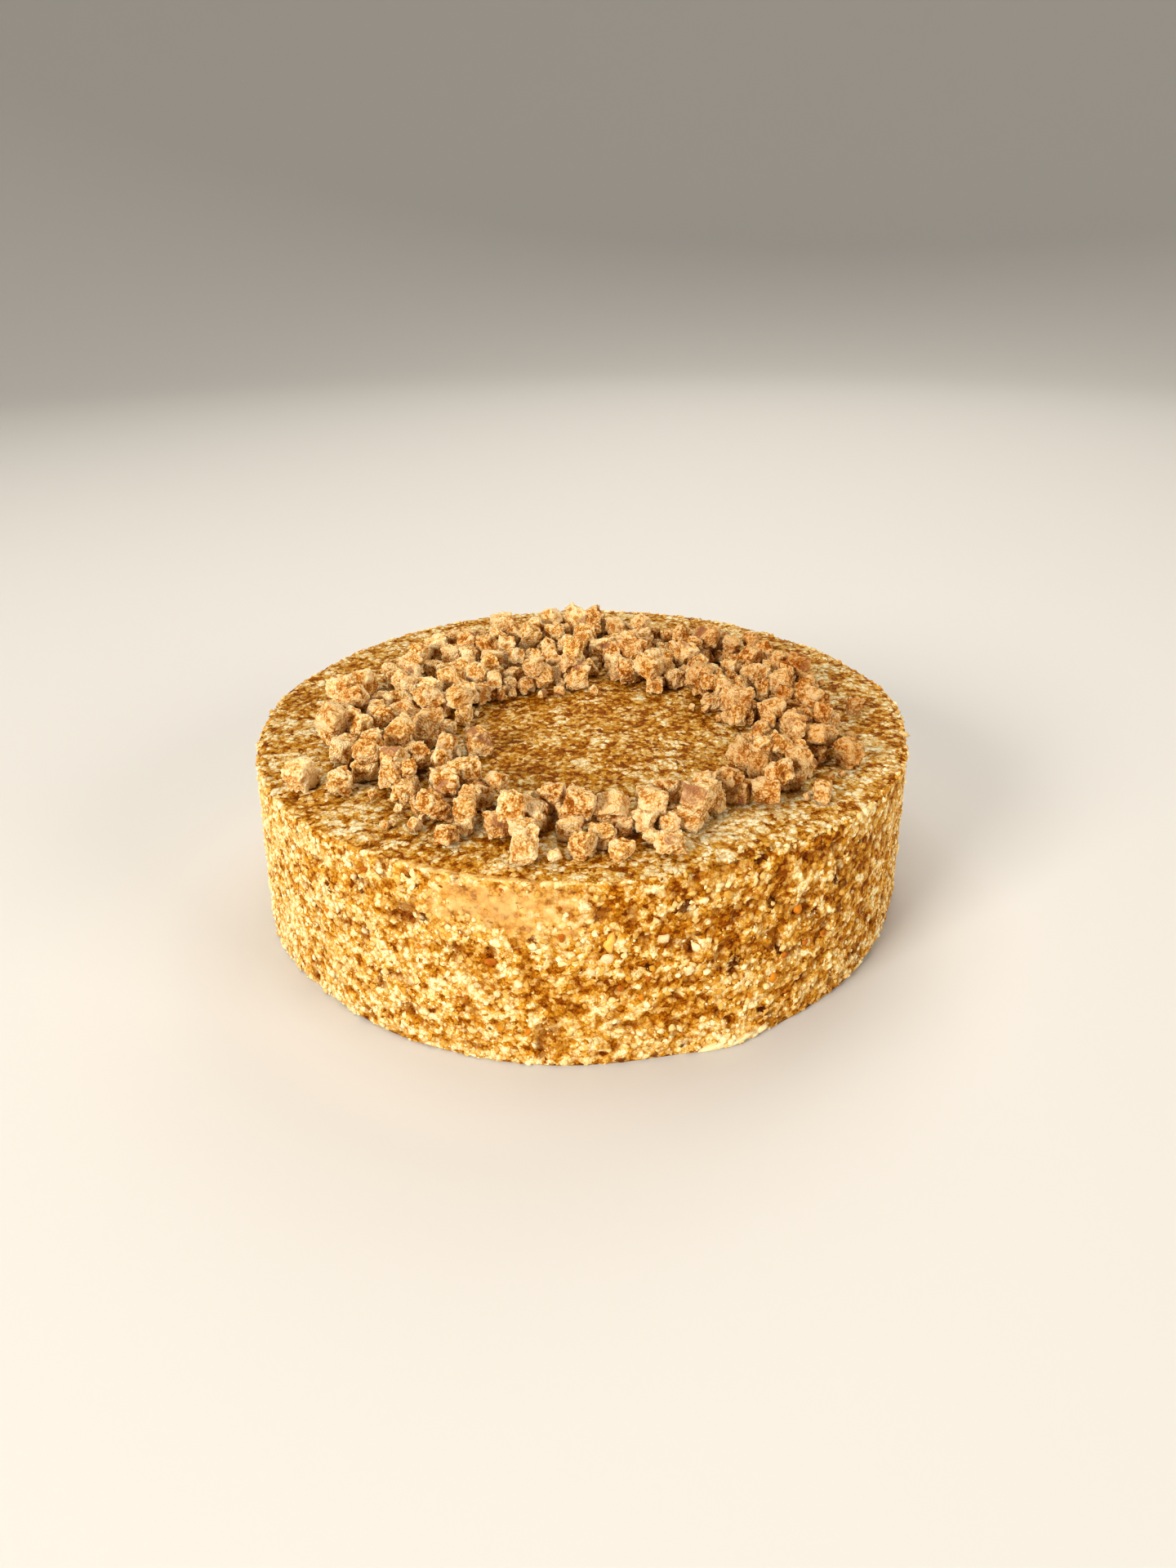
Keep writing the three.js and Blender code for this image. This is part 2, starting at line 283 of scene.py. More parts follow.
def crumb_lumps(places, cell, seed):
    """Lumps packed side by side: each cubic cell holds one centre at a drawn place, and a lump falls off
    as the square of the distance to the nearest centre, from a drawn height."""
    scaled = places / cell
    base = np.floor(scaled).astype(np.int64)
    nearest = np.full(scaled.shape[:-1], np.inf)
    height = np.zeros(scaled.shape[:-1])
    for step in np.ndindex(3, 3, 3):
        near = base + np.array(step) - 1
        centre = near + np.stack([lattice_draw(near, seed + k) for k in range(3)], axis=-1)
        away = ((scaled - centre) ** 2).sum(axis=-1)
        closer = away < nearest
        nearest = np.where(closer, away, nearest)
        height = np.where(closer, lattice_draw(near, seed + 3), height)
    return np.clip(1 - nearest, 0, 1) * (LOWEST_LUMP + (1 - LOWEST_LUMP) * height)


def crumbled(places, nut, crumb):
    """Depth of the crumbled surface under the pressed one: lumps of two sizes stand up towards it, nut
    higher than date, and pits go below where a noise is high."""
    pits = crumb["pits"]
    pitted = np.clip(soft_noise(places, pits["width"], pits["seed"]) - pits["from"], 0, 1) * pits["depth"]
    lumps = sum(weight * crumb_lumps(places, width, seed) for weight, width, seed in crumb["lumps"])
    lumps = lumps + crumb["nut_rise"] * (nut - 0.5)
    return np.maximum(crumb["depth"] - lumps + pitted, 0)


def crisp_rim(bearing, height):
    """Share of clean pressed edge: a narrow band right under the rim, along the front left."""
    near = np.clip((height - CAKE_HEIGHT) / CRISP_RIM["below"] + 1, 0, 1)
    along = stretch_share(bearing, CRISP_RIM)
    return near * np.clip(CRISP_RIM["firm"] * along, 0, 1)


def smooth_share(bearing, height):
    """Share of smeared paste: an oval high on the front of the wall, fading out through edges broken by
    noise, and the clean edge of the rim."""
    across = turn_from(bearing, SMOOTH_PATCH["bearing"]) / SMOOTH_PATCH["spread"]
    along = (height - SMOOTH_PATCH["height"]) / SMOOTH_PATCH["reach"]
    ragged = layered_noise(np.stack([bearing * TOP_RADIUS, height, 0 * height], axis=-1), RAGGED_NOISES)
    oval = SMOOTH_SHARE["middle"] - SMOOTH_SHARE["fall"] * (across**2 + along**2)
    patch = np.clip(oval - ragged, 0, SMOOTH_SHARE["most"])
    return np.maximum(patch, CRISP_RIM["smooth"] * crisp_rim(bearing, height))


def wall_depth(places, smooth, nut):
    """Depth of the wall under the pressed one: crumbled, and nearly level where smeared."""
    smeared = SMEAR_DEPTH + layered_noise(places, SMEAR_NOISES)
    return crumbled(places, nut, WALL_CRUMB) * (1 - smooth) + smeared * smooth


def nut_share(places, trend, spread=1.0):
    """Share of nut against date, from 0 to 1: noise of three sizes, flattened so that patches lie level."""
    patches = layered_noise(places * NUT_FLATTENING / spread, NUT_NOISES)
    return np.clip((patches - NUT_FROM) / NUT_RANGE + trend, 0, 1)


def rightness(bearing):
    """How far round to the right side: from 0 at the left to 1 at the right, as a cosine of the turn."""
    return 0.5 + 0.5 * np.cos(bearing - RIGHT_SIDE)


def spot_share(bearing, height, turn, middle, wide, tall):
    """Share of one soft oval spot: a bell curve round the wall times a bell curve up it."""
    across = hump(bearing, FRONT + np.radians(turn), wide / TOP_RADIUS)
    return across * np.exp(-(((height - middle) / tall) ** 2))


def wall_trend(bearing, height):
    """Lean of the wall's mix: more nut low down and at the left, more date high up, at the right and in its
    patches, and pale paste along the clean edge of the rim and on the lip of the foot."""
    upward = WALL_MIX["up"] * (WALL_MIX["level"] - height / CAKE_HEIGHT)
    leftward = WALL_MIX["round"] * (WALL_MIX["middle"] - rightness(bearing))
    lean = upward + np.clip(leftward, WALL_MIX["least"], WALL_MIX["most"])
    lean = lean - DATE_GAIN * sum(spot_share(bearing, height, *patch) for patch in DATE_PATCHES)
    lip = np.clip(PALE_LIP["rise"] - height / FOOT_LIP["height"], 0, 1)
    lip = lip * hump(bearing, FOOT_LIP["bearing"], PALE_LIP["spread"])
    return lean + crisp_rim(bearing, height) + PALE_LIP["gain"] * lip


def wall_dark(bearing, height):
    """Share of dark date skin in the paste: the greatest of a few soft spots."""
    return np.max([spot_share(bearing, height, *spot) for spot in DARK_SPOTS], axis=0)


def add_piece(name, places, faces, finish):
    """Puts a closed surface, given in millimetres, into the scene as a piece that rides with the cake."""
    mesh = bpy.data.meshes.new(name)
    mesh.from_pydata((places * MM).tolist(), [], faces)
    mesh.polygons.foreach_set("use_smooth", np.ones(len(mesh.polygons), bool))
    mesh.materials.append(finish)
    piece = bpy.data.objects.new(name, mesh)
    bpy.context.scene.collection.objects.link(piece)
    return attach(piece, "root")


def paint(piece, name, values):
    """Keeps one number, or one colour, for each point of a piece, for its finish to read."""
    if values.ndim == 1:
        layer = piece.data.attributes.new(name, "FLOAT", "POINT")
        layer.data.foreach_set("value", values.astype(np.float32))
    else:
        layer = piece.data.attributes.new(name, "FLOAT_COLOR", "POINT")
        opaque = np.column_stack([values, np.ones(len(values))])
        layer.data.foreach_set("color", opaque.astype(np.float32).ravel())


def paint_crust(piece, **shares):
    """Keeps the shares of a crust for each point of the side that shows, and nothing for the others."""
    for name, values in shares.items():
        unseen = np.zeros(len(piece.data.vertices) - values.size)
        paint(piece, name, np.concatenate([values.ravel(), unseen]))


def add_node(tree, kind, inputs=(), **settings):
    """One shader node with its settings. An input that is given a socket is linked, any other is set."""
    made = tree.nodes.new(kind)
    for name, value in settings.items():
        setattr(made, name, value)
    for name, value in dict(inputs).items():
        if isinstance(value, bpy.types.NodeSocket):
            tree.links.new(value, made.inputs[name])
        else:
            made.inputs[name].default_value = value
    return made


def mixed(tree, share, one, other, blend="MIX"):
    """Colour between two, by a share."""
    inputs = {0: share, 6: one, 7: other}
    return add_node(tree, "ShaderNodeMix", inputs, data_type="RGBA", blend_type=blend).outputs[2]


def stretched(tree, value, low, high):
    """A value stretched so that low becomes 0 and high becomes 1, and held between them."""
    inputs = {"Value": value, "From Min": low, "From Max": high}
    return add_node(tree, "ShaderNodeMapRange", inputs).outputs["Result"]


def reckoned(tree, operation, one, other):
    """Sum, product or other arithmetic of two values."""
    return add_node(tree, "ShaderNodeMath", {0: one, 1: other}, operation=operation).outputs[0]


def swung(tree, value, part):
    """A value from 0 to 1, less a half, times its part."""
    return reckoned(tree, "MULTIPLY", reckoned(tree, "SUBTRACT", value, 0.5), part)


def noise_pattern(tree, where, scale, detail, roughness):
    """Outputs of a noise texture."""
    inputs = {"Vector": where, "Scale": scale, "Detail": detail, "Roughness": roughness}
    return add_node(tree, "ShaderNodeTexNoise", inputs).outputs


def cell_pattern(tree, where, scale):
    """Outputs of a texture of packed cells: a colour for each, and the distance to its centre."""
    return add_node(tree, "ShaderNodeTexVoronoi", {"Vector": where, "Scale": scale}).outputs


def cell_draw(tree, cells):
    """One draw from 0 to 1 for each cell."""
    return add_node(tree, "ShaderNodeSeparateColor", {"Color": cells["Color"]}).outputs["Red"]


def layer_value(tree, name, output="Fac"):
    """Value or colour that the piece keeps for each of its points."""
    return add_node(tree, "ShaderNodeAttribute", attribute_name=name).outputs[output]


def new_group(name, inputs, outputs):
    """Empty shader node group with named sockets: the group, what comes in, what goes out, and where."""
    group = bpy.data.node_groups.new(name, "ShaderNodeTree")
    for socket_name, kind in inputs.items():
        group.interface.new_socket(socket_name, in_out="INPUT", socket_type=kind)
    for socket_name, kind in outputs.items():
        group.interface.new_socket(socket_name, in_out="OUTPUT", socket_type=kind)
    comes_in = group.nodes.new("NodeGroupInput").outputs
    goes_out = group.nodes.new("NodeGroupOutput").inputs
    return group, comes_in, goes_out, add_node(group, "ShaderNodeTexCoord").outputs["Object"]


def new_finish(name, **values):
    """Empty material, with the constant values of its Principled shader set on their own sockets."""
    finish = bpy.data.materials.new(name)
    finish.use_nodes = True
    shader = finish.node_tree.nodes["Principled BSDF"]
    for socket_name, value in values.items():
        shader.inputs[socket_name.replace("_", " ")].default_value = value
    return finish, finish.node_tree, shader


def dress(tree, shader, group_node, relief):
    """Gives the shader the group's colour, and its height as a bump of that many millimetres."""
    inputs = {"Height": group_node.outputs["Height"], "Distance": relief * MM, "Strength": BUMP_STRENGTH}
    bump = add_node(tree, "ShaderNodeBump", inputs)
    tree.links.new(group_node.outputs["Colour"], shader.inputs["Base Color"])
    tree.links.new(bump.outputs["Normal"], shader.inputs["Normal"])


COLOUR, NUMBER = "NodeSocketColor", "NodeSocketFloat"
# Colours multiplied in as painted shade: the first between crumbs and in the fine pits of grains, the second
# in the deep pits of the crust.
RECESS_PAINTED_SHADE = (0.66, 0.46, 0.26, 1.0)
PIT_PAINTED_SHADE = (0.42, 0.27, 0.14, 1.0)
DARK_SHADE = (0.20, 0.115, 0.08, 1.0)
SMEAR_SHADE = (0.65, 0.37, 0.128, 1.0)
CRUST_SHADES = np.array([
    (0.26, 0.060, 0.0005), (0.45, 0.158, 0.003), (0.60, 0.275, 0.020),
    (0.73, 0.43, 0.10), (0.85, 0.63, 0.28), (0.92, 0.80, 0.47),
])
CRUMB_WIDTH = 1.3
MEAL_WIDTH = 0.6
STIR = 0.7
STIR_NOISE = (1400.0, 2.0, 0.6)
MEAL_NOISE = (2100.0, 3.0, 0.6)
NUT_PART = 0.46
CRUMB_PART = 0.70
MEAL_PART = 0.38
ROUGH_RANGE = (1.1, 0.0)
CRUMB_GAP = (0.42, 0.85)
MEAL_GAP = (0.51, 0.31)
DARK_EDGE = (0.25, 0.65)
DARK_BREAK = 0.9
MEAL_HEIGHT = 0.5
CRUST_RELIEF = 0.26
binder, binder_in, binder_out, binder_where = new_group(
    "date_binder",
    {"Tone": COLOUR, "Contrast": NUMBER, "Nut": NUMBER, "Smooth": NUMBER, "Deep": NUMBER, "Dark": NUMBER},
    {"Colour": COLOUR, "Height": NUMBER},
)
binder_moved = add_node(
    binder,
    "ShaderNodeVectorMath",
    {0: noise_pattern(binder, binder_where, *STIR_NOISE)["Color"], 1: (STIR * MM,) * 3, 2: binder_where},
    operation="MULTIPLY_ADD",
).outputs["Vector"]
crumb_cells = cell_pattern(binder, binder_moved, 1 / (CRUMB_WIDTH * MM))
meal_cells = cell_pattern(binder, binder_moved, 1 / (MEAL_WIDTH * MM))
meal_noise = noise_pattern(binder, binder_where, *MEAL_NOISE)["Fac"]
uneven = reckoned(
    binder,
    "ADD",
    swung(binder, cell_draw(binder, crumb_cells), CRUMB_PART),
    swung(binder, cell_draw(binder, meal_cells), MEAL_PART),
)
rough_share = stretched(binder, binder_in["Smooth"], *ROUGH_RANGE)
by_crumb = reckoned(binder, "MULTIPLY", uneven, rough_share)
by_both = reckoned(binder, "ADD", swung(binder, binder_in["Nut"], NUT_PART), by_crumb)
pale_here = reckoned(binder, "ADD", reckoned(binder, "MULTIPLY", by_both, binder_in["Contrast"]), 0.5)
crust_ramp = add_node(binder, "ShaderNodeValToRGB", {"Fac": pale_here})
for place in np.linspace(0, 1, len(CRUST_SHADES))[1:-1]:
    crust_ramp.color_ramp.elements.new(place)
for stop, shade in zip(crust_ramp.color_ramp.elements, CRUST_SHADES):
    stop.color = (*shade, 1.0)
# Painted shade between the crumbs: the crust is darkened at the edges of the crumb cells and where the fine
# meal noise is low.
crumb_gap_shade = stretched(binder, crumb_cells["Distance"], *CRUMB_GAP)
meal_dip_shade = stretched(binder, meal_noise, *MEAL_GAP)
ground = mixed(binder, binder_in["Smooth"], crust_ramp.outputs["Color"], SMEAR_SHADE)
for gap in (crumb_gap_shade, meal_dip_shade):
    ground = mixed(binder, reckoned(binder, "MULTIPLY", gap, rough_share), ground, RECESS_PAINTED_SHADE, "MULTIPLY")
# Painted shade in the pits: darker where the crumbled surface lies deep.
ground = mixed(binder, binder_in["Deep"], ground, PIT_PAINTED_SHADE, "MULTIPLY")
dark_edge = reckoned(binder, "SUBTRACT", binder_in["Dark"], reckoned(binder, "MULTIPLY", uneven, DARK_BREAK))
ground = mixed(binder, stretched(binder, dark_edge, *DARK_EDGE), ground, DARK_SHADE, "MULTIPLY")
ground = mixed(binder, 1.0, ground, binder_in["Tone"], "MULTIPLY")
crumb_height = reckoned(binder, "SUBTRACT", meal_noise, crumb_cells["Distance"])
meal_height = reckoned(binder, "MULTIPLY", meal_cells["Distance"], MEAL_HEIGHT)
binder_height = reckoned(binder, "SUBTRACT", crumb_height, meal_height)
binder.links.new(ground, binder_out["Colour"])
binder.links.new(reckoned(binder, "MULTIPLY", binder_height, rough_share), binder_out["Height"])


def binder_finish(name, tone, contrast):
    """Crust under the loose grains: date paste and ground nut by the patch, with painted shade between the
    crumbs and in the pits, and even where smeared."""
    finish, tree, shader = new_finish(name, Roughness=0.6, Specular_IOR_Level=0.03)
    crust = add_node(tree, "ShaderNodeGroup", node_tree=binder)
    crust.inputs["Tone"].default_value = (*tone, 1.0)
    crust.inputs["Contrast"].default_value = contrast
    for socket_name in ("Nut", "Smooth", "Deep", "Dark"):
        tree.links.new(layer_value(tree, socket_name.lower()), crust.inputs[socket_name])
    dress(tree, shader, crust, CRUST_RELIEF)
    return finish


WALL_TONE = (1.0, 1.04, 1.07)
WALL_CONTRAST = 0.97
rim_angle = np.linspace(0.0, np.pi / 2, ROUND_ROWS)
wall_heights = np.concatenate([
    FOOT_ROUNDING * (1 - np.cos(rim_angle)),
    np.linspace(FOOT_ROUNDING, CAKE_HEIGHT - RIM_ROUNDING, WALL_ROWS)[1:-1],
    CAKE_HEIGHT - RIM_ROUNDING * (1 - np.sin(rim_angle)),
])
wall_bearings = np.linspace(0.0, 2 * np.pi, WALL_COLUMNS, endpoint=False)
wall_height, wall_bearing = np.meshgrid(wall_heights, wall_bearings, indexing="ij")
wall_places, _, _, wall_out = wall_frame(wall_bearing, wall_height)
wall_smooth = smooth_share(wall_bearing, wall_height)
wall_nut = nut_share(wall_places, wall_trend(wall_bearing, wall_height))
wall_sunk = wall_depth(wall_places, wall_smooth, wall_nut)
wall_places = wall_places - wall_out * wall_sunk[..., None]
wall_places[..., 2] = np.maximum(wall_places[..., 2], 0.0)
wall_places[0, :, 2] = 0.0
wall_reach = np.hypot(wall_places[..., 0], wall_places[..., 1])
cap_reach = [wall_reach[-1:] - inset for inset, _ in CAP_RINGS]
cap_height = [np.full((1, WALL_COLUMNS), CAKE_HEIGHT - drop) for _, drop in CAP_RINGS]
body_places, body_faces = turned_surface(
    np.vstack([wall_reach, *cap_reach]), np.vstack([wall_places[..., 2], *cap_height]), wall_bearings
)
wall_binder = binder_finish("wall_binder", WALL_TONE, WALL_CONTRAST)
wall_crust = add_piece("wall_crust", body_places, body_faces, wall_binder)
paint_crust(
    wall_crust,
    nut=wall_nut,
    smooth=wall_smooth,
    deep=np.clip(wall_sunk / WALL_DEEP - 0.5, 0, 1),
    dark=wall_dark(wall_bearing, wall_height),
)
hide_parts("crumb_cake")

# Top of the cake: the same crust, pressed flat with the palm, so its lumps are lower and it is browner.
# It is a round slab let into the rim of the wall.
TOP_SQUARES = 296
TOP_EDGE = 0.8
TOP_THICK = 3.0
EDGE_DROP = 0.9
EDGE_FROM = 0.991
EDGE_WIDTH = 0.009
UNDER_SHARE = 0.99
TOP_PATCHES = 1.2
TOP_LEAN = -0.06
TOP_CENTRE = {"reach": 48.0, "fade": 10.0, "gain": -0.23}
PALE_SIDE = {"bearing": -0.95, "spread": 0.5, "gain": 0.3, "from": 45.0, "to": 80.0}
RIM_GROOVE = {"bearing": -1.86, "spread": 0.21, "within": 4.5, "firm": 1.6, "depth": 0.7, "gain": -0.9}
TOP_CRUMB = {
    "depth": 0.5,
    "lumps": [(0.24, 2.2, 32), (0.20, 1.2, 42)],
    "nut_rise": 0.18,
    "pits": {"width": 3.0, "seed": 22, "from": 0.70, "depth": 1.8},
}
TOP_DEEP = 0.7
TOP_TONE = (0.81, 0.875, 1.0)
TOP_CONTRAST = 1.2


def near_rim(x, y, within):
    """How near to the rim: 1 at it, falling evenly to 0 at a distance within it."""
    return np.clip(1 - (TOP_RADIUS - RIM_ROUNDING - np.hypot(x, y)) / within, 0, 1)


def rim_groove(x, y):
    """Share of the smooth groove that the tin left inside the clean edge of the rim, which the top's mix
    darkens as painted shade.
    """
    along = RIM_GROOVE["firm"] * stretch_share(np.arctan2(y, x), RIM_GROOVE)
    return np.clip(RIM_GROOVE["firm"] * near_rim(x, y, RIM_GROOVE["within"]), 0, 1) * np.clip(along, 0, 1)


def top_level(x, y):
    """Height of the pressed top: level, but worn down towards the rim on the soft stretch, and sunk in the
    groove."""
    along = stretch_share(np.arctan2(y, x), WORN_RIM)
    worn = near_rim(x, y, WORN_RIM["within"]) * WORN_RIM["depth"] * along
    return CAKE_HEIGHT - worn - RIM_GROOVE["depth"] * rim_groove(x, y)


def top_trend(x, y):
    """Lean of the top's mix: darker in the middle, darker still in the groove as painted shade, and paler
    towards the soft stretch of the rim."""
    away = np.hypot(x, y)
    inner = np.clip((TOP_CENTRE["reach"] - away) / TOP_CENTRE["fade"], 0, 1)
    outward = np.clip((away - PALE_SIDE["from"]) / (PALE_SIDE["to"] - PALE_SIDE["from"]), 0, 1)
    soft_side = outward * stretch_share(np.arctan2(y, x), PALE_SIDE)
    lean = TOP_LEAN + TOP_CENTRE["gain"] * inner + PALE_SIDE["gain"] * soft_side
    # Painted shade in the groove: its colour is pushed towards the dark date shades.
    return lean + RIM_GROOVE["gain"] * rim_groove(x, y)


def disc_from_square(across, along):
    """Even map from a square to a disc: squares of growing size become circles of growing radius."""
    wide = np.abs(across) > np.abs(along)
    reach = np.where(wide, across, along)
    share = np.where(wide, along, across) / np.where(reach == 0, 1, reach)
    angle = np.where(wide, np.pi / 4 * share, np.pi / 2 - np.pi / 4 * share)
    return reach * np.cos(angle), reach * np.sin(angle)


def grid_squares(number):
    """Squares of a grid of numbered points: each point with its neighbours down, across and between."""
    corners = [number[:-1, :-1], number[1:, :-1], number[1:, 1:], number[:-1, 1:]]
    return np.stack(corners, axis=-1).reshape(-1, 4)


square_line = np.linspace(-1.0, 1.0, TOP_SQUARES + 1)
disc_x, disc_y = disc_from_square(*np.meshgrid(square_line, square_line, indexing="ij"))
disc_edge = wall_radius(np.arctan2(disc_y, disc_x), CAKE_HEIGHT) - TOP_EDGE
top_x, top_y = disc_x * disc_edge, disc_y * disc_edge
top_places = np.stack([top_x, top_y, top_level(top_x, top_y)], axis=-1)
top_nut = nut_share(top_places, top_trend(top_x, top_y), TOP_PATCHES)
top_sunk = crumbled(top_places, top_nut, TOP_CRUMB)
at_edge = np.clip((np.hypot(disc_x, disc_y) - EDGE_FROM) / EDGE_WIDTH, 0, 1)
top_places[..., 2] -= top_sunk + EDGE_DROP * at_edge
top_number = np.arange(disc_x.size).reshape(disc_x.shape)
top_border = np.concatenate([
    top_number[:-1, 0], top_number[-1, :-1], top_number[:0:-1, -1], top_number[0, :0:-1]
])
top_places = top_places.reshape(-1, 3)
under_centre = np.array([[0.0, 0.0, CAKE_HEIGHT - TOP_THICK]])
under_ring = top_places[top_border] * [UNDER_SHARE, UNDER_SHARE, 0] + under_centre
under_number = disc_x.size + np.arange(len(top_border))
under_next = np.roll(under_number, -1)
top_sides = np.column_stack([top_border, under_number, under_next, np.roll(top_border, -1)])
under_fan = np.column_stack([np.full(len(top_border), under_number[-1] + 1), under_next, under_number])
top_crust = add_piece(
    "top_crust",
    np.concatenate([top_places, under_ring, under_centre]),
    grid_squares(top_number).tolist() + top_sides.tolist() + under_fan.tolist(),
    binder_finish("top_binder", TOP_TONE, TOP_CONTRAST),
)
paint_crust(
    top_crust,
    nut=top_nut,
    smooth=np.zeros_like(top_nut),
    deep=np.clip(top_sunk / TOP_DEEP - 0.5, 0, 1),
    dark=np.zeros_like(top_nut),
)
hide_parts("crumb_cake")

# Loose grains on the crust: broken nut, mostly, half sunk in the paste and pressed flush with the tin, so
# that each shows a low crown, and finer crumbs between. Grains of one patch are alike in colour.
GRAIN_SEED = 20
GRAIN_SIZES = {
    "grains": {
        "wall_spacing": 1.65, "top_spacing": 2.0, "least": 0.65, "range": 1.4, "lowness": 1.0,
        "form": {"sides": 6, "rings": ((0.66, 0.72), (1.0, 0.05))},
    },
    "crumbs": {
        "wall_spacing": 1.4, "top_spacing": 1.7, "least": 0.36, "range": 0.45, "lowness": 1.0,
        "form": {"sides": 5, "rings": ((1.0, 0.0),)},
    },
}
CORNER_SHIFT = 0.3
CORNER_REACH = (0.68, 1.28)
RING_REACH = (0.9, 1.1)
TIP_SHIFT = 0.2
RIPPLE = 0.14
ROOT_DEPTH = 0.6
LEAST_HEIGHT = 0.02
LATTICE_SHIFT = 0.45
MOST_STRETCH = 1.7
SUNK_SHARE = 0.18
PROUD_LIMIT = 0.25
SMALL_GRAINS = 2.2
CROWN_RANGE = (0.22, 0.48)
TOP_LOWNESS = 0.6
SKIN_SHARE = {"wall": 0.004, "right": 0.012, "top": 0.01, "size": 0.7}
LEFT_OUT = {"pale": (0.3, 0.75), "share": (0.92, 0.22), "smear": 0.85}
TINT_RANGE = (0.84, 1.04)
COATING = {"bare": 0.6, "draw": (0.2, 0.9)}
HOLE = {"x": 4.0, "y": -22.0, "radius": 36.0}
RING = {"x": 0.0, "y": -7.0, "radius": 71.0}
RING_COVER = 0.5
NUT_WEIGHT = 0.56
PALE_CONTRAST = 1.7
SPECK_NOISE = (3.0, 0.65)
SPECK_RANGE = (0.62, 0.36)
GRAIN_RELIEF = 0.14
MAP_REACH = 0.3
GRAIN_LIMITS = {"date": (-1.0, 0.26), "meal": (0.26, 0.54), "pale_nut": (0.54, 2.0)}
SKIN_SHADES = np.array([(0.09, 0.022, 0.002), (0.18, 0.045, 0.003), (0.13, 0.042, 0.004)])
grain_draws = np.random.default_rng(GRAIN_SEED)


def beads(frames, size, sunk, crown, stretch, turn, draws, sides, rings):
    """Broken grains: rings of corners round each place at uneven distances, a crown above and a root below.
    Size is the mean width, sunk the depth of the widest ring, and crown the rise over it."""
    places, across, along, out = frames
    count = len(size)
    turn = turn[:, None]
    shift = draws.uniform(-CORNER_SHIFT, CORNER_SHIFT, (count, sides))
    corner = 2 * np.pi * (np.arange(sides) + shift) / sides
    uneven_reach = draws.uniform(*CORNER_REACH, (count, sides))
    tip = draws.uniform(-TIP_SHIFT, TIP_SHIFT, (count, 2)) * size[:, None]
    local = [np.column_stack([tip, crown - sunk])[:, None]]
    for width, rise in rings:
        reach = 0.5 * width * size[:, None] * uneven_reach * draws.uniform(*RING_REACH, (count, sides))
        longways = reach * np.cos(corner) * stretch[:, None]
        sideways = reach * np.sin(corner) / stretch[:, None]
        ripple = size[:, None] * draws.uniform(-RIPPLE, RIPPLE, (count, sides))
        raised = (rise * crown - sunk)[:, None] + ripple * (1 - rise)
        x = longways * np.cos(turn) - sideways * np.sin(turn)
        y = longways * np.sin(turn) + sideways * np.cos(turn)
        local.append(np.stack([x, y, raised], axis=-1))
    local.append(np.column_stack([0 * tip, -sunk - ROOT_DEPTH * size])[:, None])
    local = np.concatenate(local, axis=1)
    points = (
        places[:, None]
        + across[:, None] * local[..., :1]
        + along[:, None] * local[..., 1:2]
        + out[:, None] * local[..., 2:]
    )
    points[..., 2] = np.maximum(points[..., 2], LEAST_HEIGHT)
    near = 1 + np.arange(sides)
    after = 1 + (np.arange(sides) + 1) % sides
    bottom = sides * len(rings) + 1
    faces = [np.column_stack([np.zeros(sides, int), near, after])]
    for ring in range(len(rings) - 1):
        low = sides * (ring + 1)
        high = sides * ring
        faces.append(np.column_stack([near + high, near + low, after + low]))
        faces.append(np.column_stack([near + high, after + low, after + high]))
    last = sides * (len(rings) - 1)
    faces.append(np.column_stack([np.full(sides, bottom), after + last, near + last]))
    faces = np.concatenate(faces)
    all_faces = (faces[None] + (bottom + 1) * np.arange(count)[:, None, None]).reshape(-1, 3)
    return points.reshape(-1, 3), all_faces.tolist()


def crust_shade(pale):
    """Colour of the ground crust by how pale it is, from date at 0 to bare nut at 1."""
    steps = np.linspace(0, 1, len(CRUST_SHADES))
    return np.stack([np.interp(pale, steps, shade) for shade in CRUST_SHADES.T], axis=-1)


def coated(tint, paste, draws, sides, rings):
    """Colour of each point of the grains: their own at the crown, blending into the paste further down."""
    bare = np.concatenate([[1.0], np.repeat([rise for _, rise in rings], sides), [0.0]])
    share = COATING["bare"] * bare + draws.uniform(*COATING["draw"], (len(tint), len(bare)))
    share = np.clip(share, 0, 1)[..., None]
    return (tint[:, None] * share + paste[:, None] * (1 - share)).reshape(-1, 3)


def own_map(piece, flat):
    """Gives a piece a map of its own, from a place on a square sheet for each corner of its faces."""
    layer = piece.data.uv_layers.new(name="OFBake", do_init=False)
    layer.uv.foreach_set("vector", flat.astype(np.float32).ravel())


def grain_map(piece, count):
    """Map for a piece of many grains: the corners of each lie on a small circle in a cell of the sheet."""
    cells = int(np.ceil(np.sqrt(count)))
    corners_each = len(piece.data.vertices) // count
    loops = np.empty(len(piece.data.loops), np.int32)
    piece.data.loops.foreach_get("vertex_index", loops)
    grain, corner = loops // corners_each, loops % corners_each
    spot = 2 * np.pi * corner / corners_each
    own_map(piece, np.column_stack([
        (grain % cells + 0.5 + MAP_REACH * np.cos(spot)) / cells,
        (grain // cells + 0.5 + MAP_REACH * np.sin(spot)) / cells,
    ]))


speckle, speckle_in, speckle_out, speckle_where = new_group(
    "crumb_speckle",
    {"Tint": COLOUR, "Scale": NUMBER, "Depth": NUMBER},
    {"Colour": COLOUR, "Height": NUMBER},
)
speckle_noise = noise_pattern(speckle, speckle_where, speckle_in["Scale"], *SPECK_NOISE)["Fac"]
# Painted shade in the dips of the fine relief: where the noise, which is also the bump's height, is low, the
# tint is multiplied darker.
speckle_mask = stretched(speckle, speckle_noise, *SPECK_RANGE)
speckle_painted_shade = reckoned(speckle, "MULTIPLY", speckle_mask, speckle_in["Depth"])
speckle_colour = mixed(speckle, speckle_painted_shade, speckle_in["Tint"], RECESS_PAINTED_SHADE, "MULTIPLY")
speckle.links.new(speckle_colour, speckle_out["Colour"])
speckle.links.new(speckle_noise, speckle_out["Height"])


